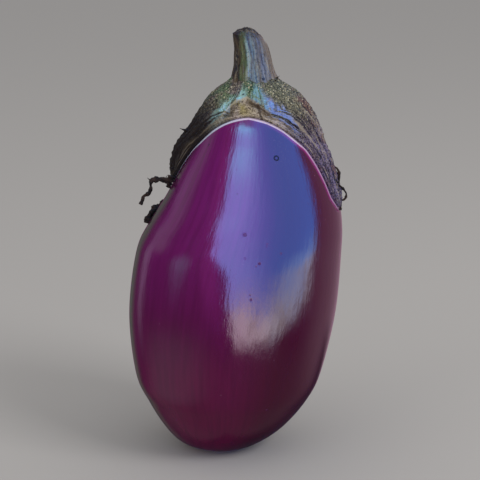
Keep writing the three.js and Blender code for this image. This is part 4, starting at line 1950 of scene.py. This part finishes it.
        # Near-black on the left sepal: partly its dried tissue, partly painted shade on the side away from the
        # light.
        colour = tree.blend(tree.times(on.withered_and_shaded, self.char_shade_share), colour, self.char_shade)
        seam = tree.times(tree.step(on.edge, self.seam_margin), tree.step(on.fibre, self.seam_fibre))
        seam = tree.times(seam, on.withered_and_shaded)
        colour = tree.blend(seam, colour, self.tan)
        shifted = tree.vector("ADD", on.here.place, (0.3, 0.1, 0.2)).outputs[0]
        return tree.blend(tree.times(self.pits.place(tree, shifted), self.pit_share), colour, self.dark)


@dataclass(frozen=True)
class StemFinish:
    """Fluted stalk: green and blue-grey bands with tan fibres, dried and pale at the cut, with painted shade on
    its left side and a painted highlight band.
    """

    pith: Colour = linear(104, 94, 80)
    tan: Colour = linear(140, 122, 94)
    dark: Colour = linear(36, 32, 30)
    blotch_share: float = 0.25
    pits: Specks = Specks(260.0, 0.2, 0.14)
    pit_share: float = 0.85
    pith_grain: Noise = Noise(500, 4)
    pith_share: Ramp = Ramp(0.4, 0.62)
    worn_top: Ramp = Ramp(0.1985, 0.2025, 0, 0.6)
    cut_share: float = 0.8
    fibre_height: float = 0.5
    crumbs: Noise = Noise(700, 4)
    bumps: Bumps = Bumps(0.7, 0.0005)
    shady_side: Ramp = Ramp(-20, -44, 0, 0.35)
    roughness: Ramp = Ramp(0, 1, 0.45, 0.62)
    gloss_azimuth: float = -13.0
    gloss: Ramp = Ramp(8, 2, 0.25, 1)
    gloss_fibre: Ramp = Ramp(0.1, 0.5)
    coat_roughness: float = 0.2
    specular: float = 0.16

    def build(self) -> bpy.types.Material:
        """Builds the material.

        Returns:
            The material.
        """
        material, tree = new_material("fluted_stalk")
        place = tree.add("TexCoord").outputs["Object"]
        grain, cut = tree.vector_of("grain"), tree.value_of("cut")
        fibres = Groups.FIBRES.place(tree, Grain=grain, Fineness=9.0, Seed=4.0)
        fibre, blotch = fibres["Fibre"], fibres["Blotch"]
        across = tree.azimuth(grain)
        bands = Groups.STALK.place(tree, Azimuth=across, Place=place, Grain=grain)
        colour = tree.blend(tree.times(blotch, self.blotch_share), bands["Color"], self.tan)
        colour = tree.blend(tree.times(self.pits.place(tree, place), self.pit_share), colour, self.dark)
        colour = tree.blend(tree.step(tree.height(place), self.worn_top), colour, self.dark)
        pith = tree.blend(tree.step(tree.noise(place, self.pith_grain), self.pith_share), self.dark, self.pith)
        colour = tree.blend(tree.times(cut, self.cut_share), colour, pith)
        height = tree.math("MULTIPLY_ADD", fibre, self.fibre_height, tree.noise(place, self.crumbs))
        dull = tree.larger(tree.step(across, self.shady_side), cut)
        rough = tree.plus(tree.step(blotch, self.roughness), dull)
        shader = tree.principled(colour, rough, self.specular, tree.bump(height, self.bumps))
        gloss = tree.step(tree.apart(across, self.gloss_azimuth), self.gloss)
        tree.feed(shader.inputs["Coat Weight"], tree.times(gloss, tree.step(fibre, self.gloss_fibre)))
        shader.inputs["Coat Roughness"].default_value = self.coat_roughness
        return material


@dataclass(frozen=True)
class DriedFinish:
    """Dark brittle tissue."""

    brown: Colour = linear(56, 44, 40)
    black: Colour = linear(33, 29, 27)
    patches: Noise = Noise(300, 4)
    brown_patch: Ramp = Ramp(0.4, 0.6)
    wrinkles: Noise = Noise(1200, 4)
    bumps: Bumps = Bumps(0.6, 0.0003)
    roughness: Ramp = Ramp(0.35, 0.65, 0.62, 0.85)
    specular: float = 0.035

    def build(self) -> bpy.types.Material:
        """Builds the material.

        Returns:
            The material.
        """
        material, tree = new_material("dried_sepal")
        place = tree.add("TexCoord").outputs["Object"]
        patch = tree.noise(place, self.patches)
        colour = tree.blend(tree.step(patch, self.brown_patch), self.black, self.brown)
        normal = tree.bump(tree.noise(place, self.wrinkles), self.bumps)
        tree.principled(colour, tree.step(patch, self.roughness), self.specular, normal)
        return material


@dataclass(frozen=True)
class Glow:
    """A soft bright patch of the room, by azimuth and elevation in degrees, with its half sizes."""

    around: float
    up: float
    width: float
    height: float
    colour: Colour

    def away(self, tree: Tree, around: Socket, up: Socket) -> Socket:
        """Distance of a direction from the patch's middle, in half sizes."""
        across = tree.math("DIVIDE", tree.minus(around, self.around), self.width)
        along = tree.math("DIVIDE", tree.minus(up, self.up), self.height)
        return tree.math("SQRT", tree.plus(tree.math("POWER", across, 2.0), tree.math("POWER", along, 2.0)))


@dataclass(frozen=True)
class Sky:
    """What the glossy skin mirrors: a bright sky in a wide opening, and a dim room beside it.

    Its colours and edges go by the azimuth (around) and elevation (up) of a direction, in degrees. The
    ramps over the opening and the cloud read how far a direction lies above their ragged edges.
    """

    blue: Colour = (1.5, 2.6, 7.3)
    cyan: Colour = (1.5, 6.2, 10.2)
    zenith: Colour = (0.12, 0.03, 0.3)
    deep: Colour = (0.12, 1.4, 5.0)
    hazy: Colour = (1.1, 2.7, 6.0)
    cloud: Colour = (4.9, 4.1, 4.6)
    cloud_right: Colour = (3.9, 4.1, 4.9)
    mottled: Colour = (1.9, 1.7, 1.5)
    room_colour: Colour = (0.12, 0.03, 0.09)
    room_right: Colour = (0.39, 0.24, 0.31)
    room_low: Colour = (0.15, 0.1, 0.12)
    room_behind: Colour = (0.03, 0.025, 0.04)
    low_light: Colour = (0.36, 0.36, 0.36)
    high_light: Colour = (0.86, 0.88, 0.92)
    backdrop: Colour = (0.335, 0.325, 0.315)
    light_height: Ramp = Ramp(-0.2, 0.9)
    raggedness: Noise = Noise(16, 4, 0.65)
    wisps: Noise = Noise(17, 5, 0.7)
    edge_wander: float = 16.0
    left_slant: float = -0.8
    left_start: float = -19.0
    left_edge: Ramp = Ramp(-3, 6)
    right_edge: Ramp = Ramp(98, 86)
    over_top: Ramp = Ramp(62, 75)
    low_right: Ramp = Ramp(42, 93, -28.5, -17)
    low_left: Ramp = Ramp(5, -14, 0, 11)
    low_edge: Ramp = Ramp(-4, 5)
    cyan_up: Ramp = Ramp(30, 60)
    zenith_up: Ramp = Ramp(60, 70, 0, 0.9)
    deep_slant: float = 0.43
    deep_start: float = -34.0
    deep_edge: Ramp = Ramp(-42, 4)
    cloud_low: Ramp = Ramp(70, 98, -16.5, -10.5)
    cloud_left: Ramp = Ramp(30, 4, 0, 5)
    cloud_edge: Ramp = Ramp(5, -5)
    haze: Ramp = Ramp(16, 4, 0, 0.75)
    haze_side: Ramp = Ramp(40, 72)
    cloud_side: Ramp = Ramp(30, 60)
    mottles: Noise = Noise(13, 5, 0.7)
    mottle: Ramp = Ramp(0.47, 0.62, 0, 0.75)
    right_side: Ramp = Ramp(80, 112)
    floor_up: Ramp = Ramp(-24, -40)
    behind_side: Ramp = Ramp(118, 150)
    behind_up: Ramp = Ramp(-20.5, -26)
    glow: Ramp = Ramp(1.5, 0.3)
    glows: tuple[Glow, ...] = (
        Glow(-109, 22, 12, 11, (0.34, 0.36, 0.34)),
        Glow(-121, 2, 7.5, 20, (0.5, 0.38, 0.54)),
        Glow(-154, -5, 12, 34, (0.12, 0.16, 0.12)),
        Glow(-68, 8, 10, 12, (0.4, 0.66, 0.95)),
        Glow(-70, -34, 40, 18, (0.3, 0.28, 0.32)),
    )

    def build(self) -> None:
        """Builds the world: the mirrored sky and room, the even light, and a plain backdrop."""
        world = bpy.data.worlds.new("studio_sky")
        world.use_nodes = True
        bpy.context.scene.world = world
        world.cycles.sampling_method = "NONE"
        tree = Tree(world.node_tree)
        way = tree.add("TexCoord").outputs["Generated"]
        parts = tree.add("SeparateXYZ", {0: way}).outputs
        up = tree.times(tree.math("ARCSINE", parts["Z"]), DEGREES)
        around = tree.times(tree.math("ARCTAN2", parts["X"], tree.times(parts["Y"], -1.0)), DEGREES)
        wisp = tree.minus(tree.noise(tree.scaled(way, (1.0, 1.0, 0.45)), self.wisps), 0.5)
        wisp = tree.times(wisp, self.edge_wander)
        opening = self.opening(tree, way, around, up, wisp)
        mirrored = tree.blend(opening, self.room(tree, around, up), self.sky(tree, way, around, up, wisp))
        even = tree.blend(tree.step(parts["Z"], self.light_height), self.low_light, self.high_light)
        rays = tree.add("LightPath").outputs
        light = tree.blend(rays["Is Glossy Ray"], even, mirrored)
        light = tree.blend(rays["Is Camera Ray"], light, self.backdrop)
        background = tree.add("Background", {"Color": light, "Strength": 1.0})
        tree.feed(tree.add("OutputWorld").inputs["Surface"], background.outputs[0])

    def opening(self, tree: Tree, way: Socket, around: Socket, up: Socket, wisp: Socket) -> Socket:
        """The opening in the room through which the sky is seen.

        Args:
            tree: the world's tree.
            way: the mirrored direction.
            around: its azimuth.
            up: its elevation.
            wisp: how far the low edge strays, in degrees.

        Returns:
            1 in the opening, 0 in the room.
        """
        ragged = tree.times(tree.minus(tree.noise(way, self.raggedness), 0.5), self.edge_wander)
        left = tree.plus(tree.math("MULTIPLY_ADD", up, self.left_slant, self.left_start), ragged)
        sides = tree.step(tree.minus(around, left), self.left_edge)
        sides = tree.times(sides, tree.step(around, self.right_edge))
        sides = tree.larger(sides, tree.step(up, self.over_top))
        low = tree.plus(tree.step(around, self.low_right), tree.step(around, self.low_left))
        above = tree.minus(up, tree.plus(low, wisp))
        return tree.times(sides, tree.step(above, self.low_edge))

    def sky(self, tree: Tree, way: Socket, around: Socket, up: Socket, wisp: Socket) -> Socket:
        """The sky over its mottled bank of cloud.

        Args:
            tree: the world's tree.
            way: the mirrored direction.
            around: its azimuth.
            up: its elevation.
            wisp: how far the cloud's edge strays, in degrees.

        Returns:
            The sky's colour.
        """
        colour = tree.blend(tree.step(up, self.cyan_up), self.blue, self.cyan)
        colour = tree.blend(tree.step(up, self.zenith_up), colour, self.zenith)
        deep = tree.plus(around, tree.math("MULTIPLY_ADD", up, self.deep_slant, self.deep_start))
        colour = tree.blend(tree.step(deep, self.deep_edge), colour, self.deep)
        edge = tree.plus(tree.step(around, self.cloud_low), tree.step(around, self.cloud_left))
        above = tree.minus(up, tree.plus(edge, wisp))
        haze = tree.times(tree.step(above, self.haze), tree.step(around, self.haze_side))
        colour = tree.blend(haze, colour, self.hazy)
        cloud = tree.blend(tree.step(around, self.cloud_side), self.cloud, self.cloud_right)
        mottle = tree.noise(tree.scaled(way, (1.0, 1.0, 0.3)), self.mottles)
        cloud = tree.blend(tree.step(mottle, self.mottle), cloud, self.mottled)
        return tree.blend(tree.step(above, self.cloud_edge), colour, cloud)

    def room(self, tree: Tree, around: Socket, up: Socket) -> Socket:
        """The dim room beside the bright sky.

        Args:
            tree: the world's tree.
            around: azimuth of the mirrored direction.
            up: its elevation.

        Returns:
            The room's colour.
        """
        colour = tree.blend(tree.step(around, self.right_side), self.room_colour, self.room_right)
        colour = tree.blend(tree.step(up, self.floor_up), colour, self.room_low)
        beyond = tree.step(tree.math("ABSOLUTE", around), self.behind_side)
        beyond = tree.times(beyond, tree.step(up, self.behind_up))
        colour = tree.blend(beyond, colour, self.room_behind)
        for glow in self.glows:
            colour = tree.blend(tree.step(glow.away(tree, around, up), self.glow), colour, glow.colour)
        return colour


@dataclass(frozen=True)
class SoftLight:
    """A soft square light: its name, place and side in metres, its watts and its colour."""

    name: str
    place: Point
    size: float
    power: float
    colour: Colour

    def build(self, aim: Point) -> None:
        """Adds the light.

        Args:
            aim: the point that it shines at, in metres.
        """
        data = bpy.data.lights.new(self.name, "AREA")
        data.size = self.size
        data.energy = self.power
        data.color = self.colour
        light = bpy.data.objects.new(self.name, data)
        light.location = self.place
        light.rotation_euler = (Vector(aim) - Vector(self.place)).to_track_quat("-Z", "Y").to_euler()
        light.visible_glossy = False
        bpy.context.scene.collection.objects.link(light)


@dataclass
class Studio:
    """Camera, soft light, sky and pale floor."""

    camera_place: Point = (0.0088, -0.620, 0.258)
    pitch: float = 14.0
    focal_pixels: float = 1330.0
    frame_pixels: float = 480.0
    sensor: float = 36.0
    far_clip: float = 100.0
    floor_size: float = 12.0
    floor_colour: Colour = linear(163, 159, 155)
    floor_roughness: float = 0.9
    aim: Point = (0.0, 0.0, 0.1)
    lights: tuple[SoftLight, ...] = (
        SoftLight("key", (1.1, -0.8, 1.1), 0.7, 15.0, (0.97, 0.98, 1.0)),
        SoftLight("fill", (-1.1, -0.9, 0.6), 1.0, 4.0, (1.0, 0.97, 0.94)),
    )

    def camera(self) -> None:
        """Places the camera at the photograph's angle."""
        data = bpy.data.cameras.new("camera")
        data.sensor_width = self.sensor
        data.lens = self.focal_pixels / self.frame_pixels * self.sensor
        data.clip_end = self.far_clip
        camera = bpy.data.objects.new("camera", data)
        camera.location = self.camera_place
        camera.rotation_euler = Euler((math.radians(90 - self.pitch), 0, 0))
        bpy.context.scene.collection.objects.link(camera)
        bpy.context.scene.camera = camera

    def floor(self) -> None:
        """Builds the plain pale floor."""
        half = self.floor_size / 2
        mesh = bpy.data.meshes.new("floor")
        corners = [(-half, -half, 0), (half, -half, 0), (half, half, 0), (-half, half, 0)]
        mesh.from_pydata(corners, [], [(0, 1, 2, 3)])
        floor = bpy.data.objects.new("floor", mesh)
        bpy.context.scene.collection.objects.link(floor)
        material, tree = new_material("pale_floor")
        tree.principled(self.floor_colour, self.floor_roughness, 0.0)
        mesh.materials.append(material)
        floor.visible_glossy = False

    def build(self) -> None:
        """Builds the whole studio."""
        self.camera()
        self.floor()
        Sky().build()
        for light in self.lights:
            light.build(self.aim)
        bpy.context.scene.view_settings.view_transform = "Standard"


def dress(piece: Piece, material: bpy.types.Material, node: str) -> None:
    """Gives a piece its material, and sets it in the frame in place of its node.

    Args:
        piece: the piece.
        material: its material.
        node: the node that it stands for.
    """
    piece.data.materials.clear()
    piece.data.materials.append(material)
    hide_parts(node)
    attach(piece, "root")
    log.info("%s: %d faces for %s", piece.name, len(piece.data.polygons), node)


def main() -> None:
    """Builds the eggplant, its finishes and the studio."""
    logging.basicConfig(level=logging.INFO, format="%(name)s: %(message)s")
    for make in (fibre_group, speckle_group, mark_group, StalkBands().group):
        make()
    skin = Skin()
    stem = Stem()
    calyx = Calyx(skin)
    fruit = Fruit(skin)
    dress(fruit.build(calyx), SkinFinish().build(skin), "fruit")
    dress(calyx.build(stem), CalyxFinish().build(), "calyx")
    dress(stem.build(calyx), StemFinish().build(), "stem")
    ends = DriedEnds(skin)
    dried = DriedFinish().build()
    for index, (node, strands) in enumerate(ends.strands().items()):
        seed = ends.first_seed + ends.seed_step * index
        dress(ends.build(node + "_strands", strands, seed), dried, node)
    Studio().build()


if __name__ == "__main__":
    main()
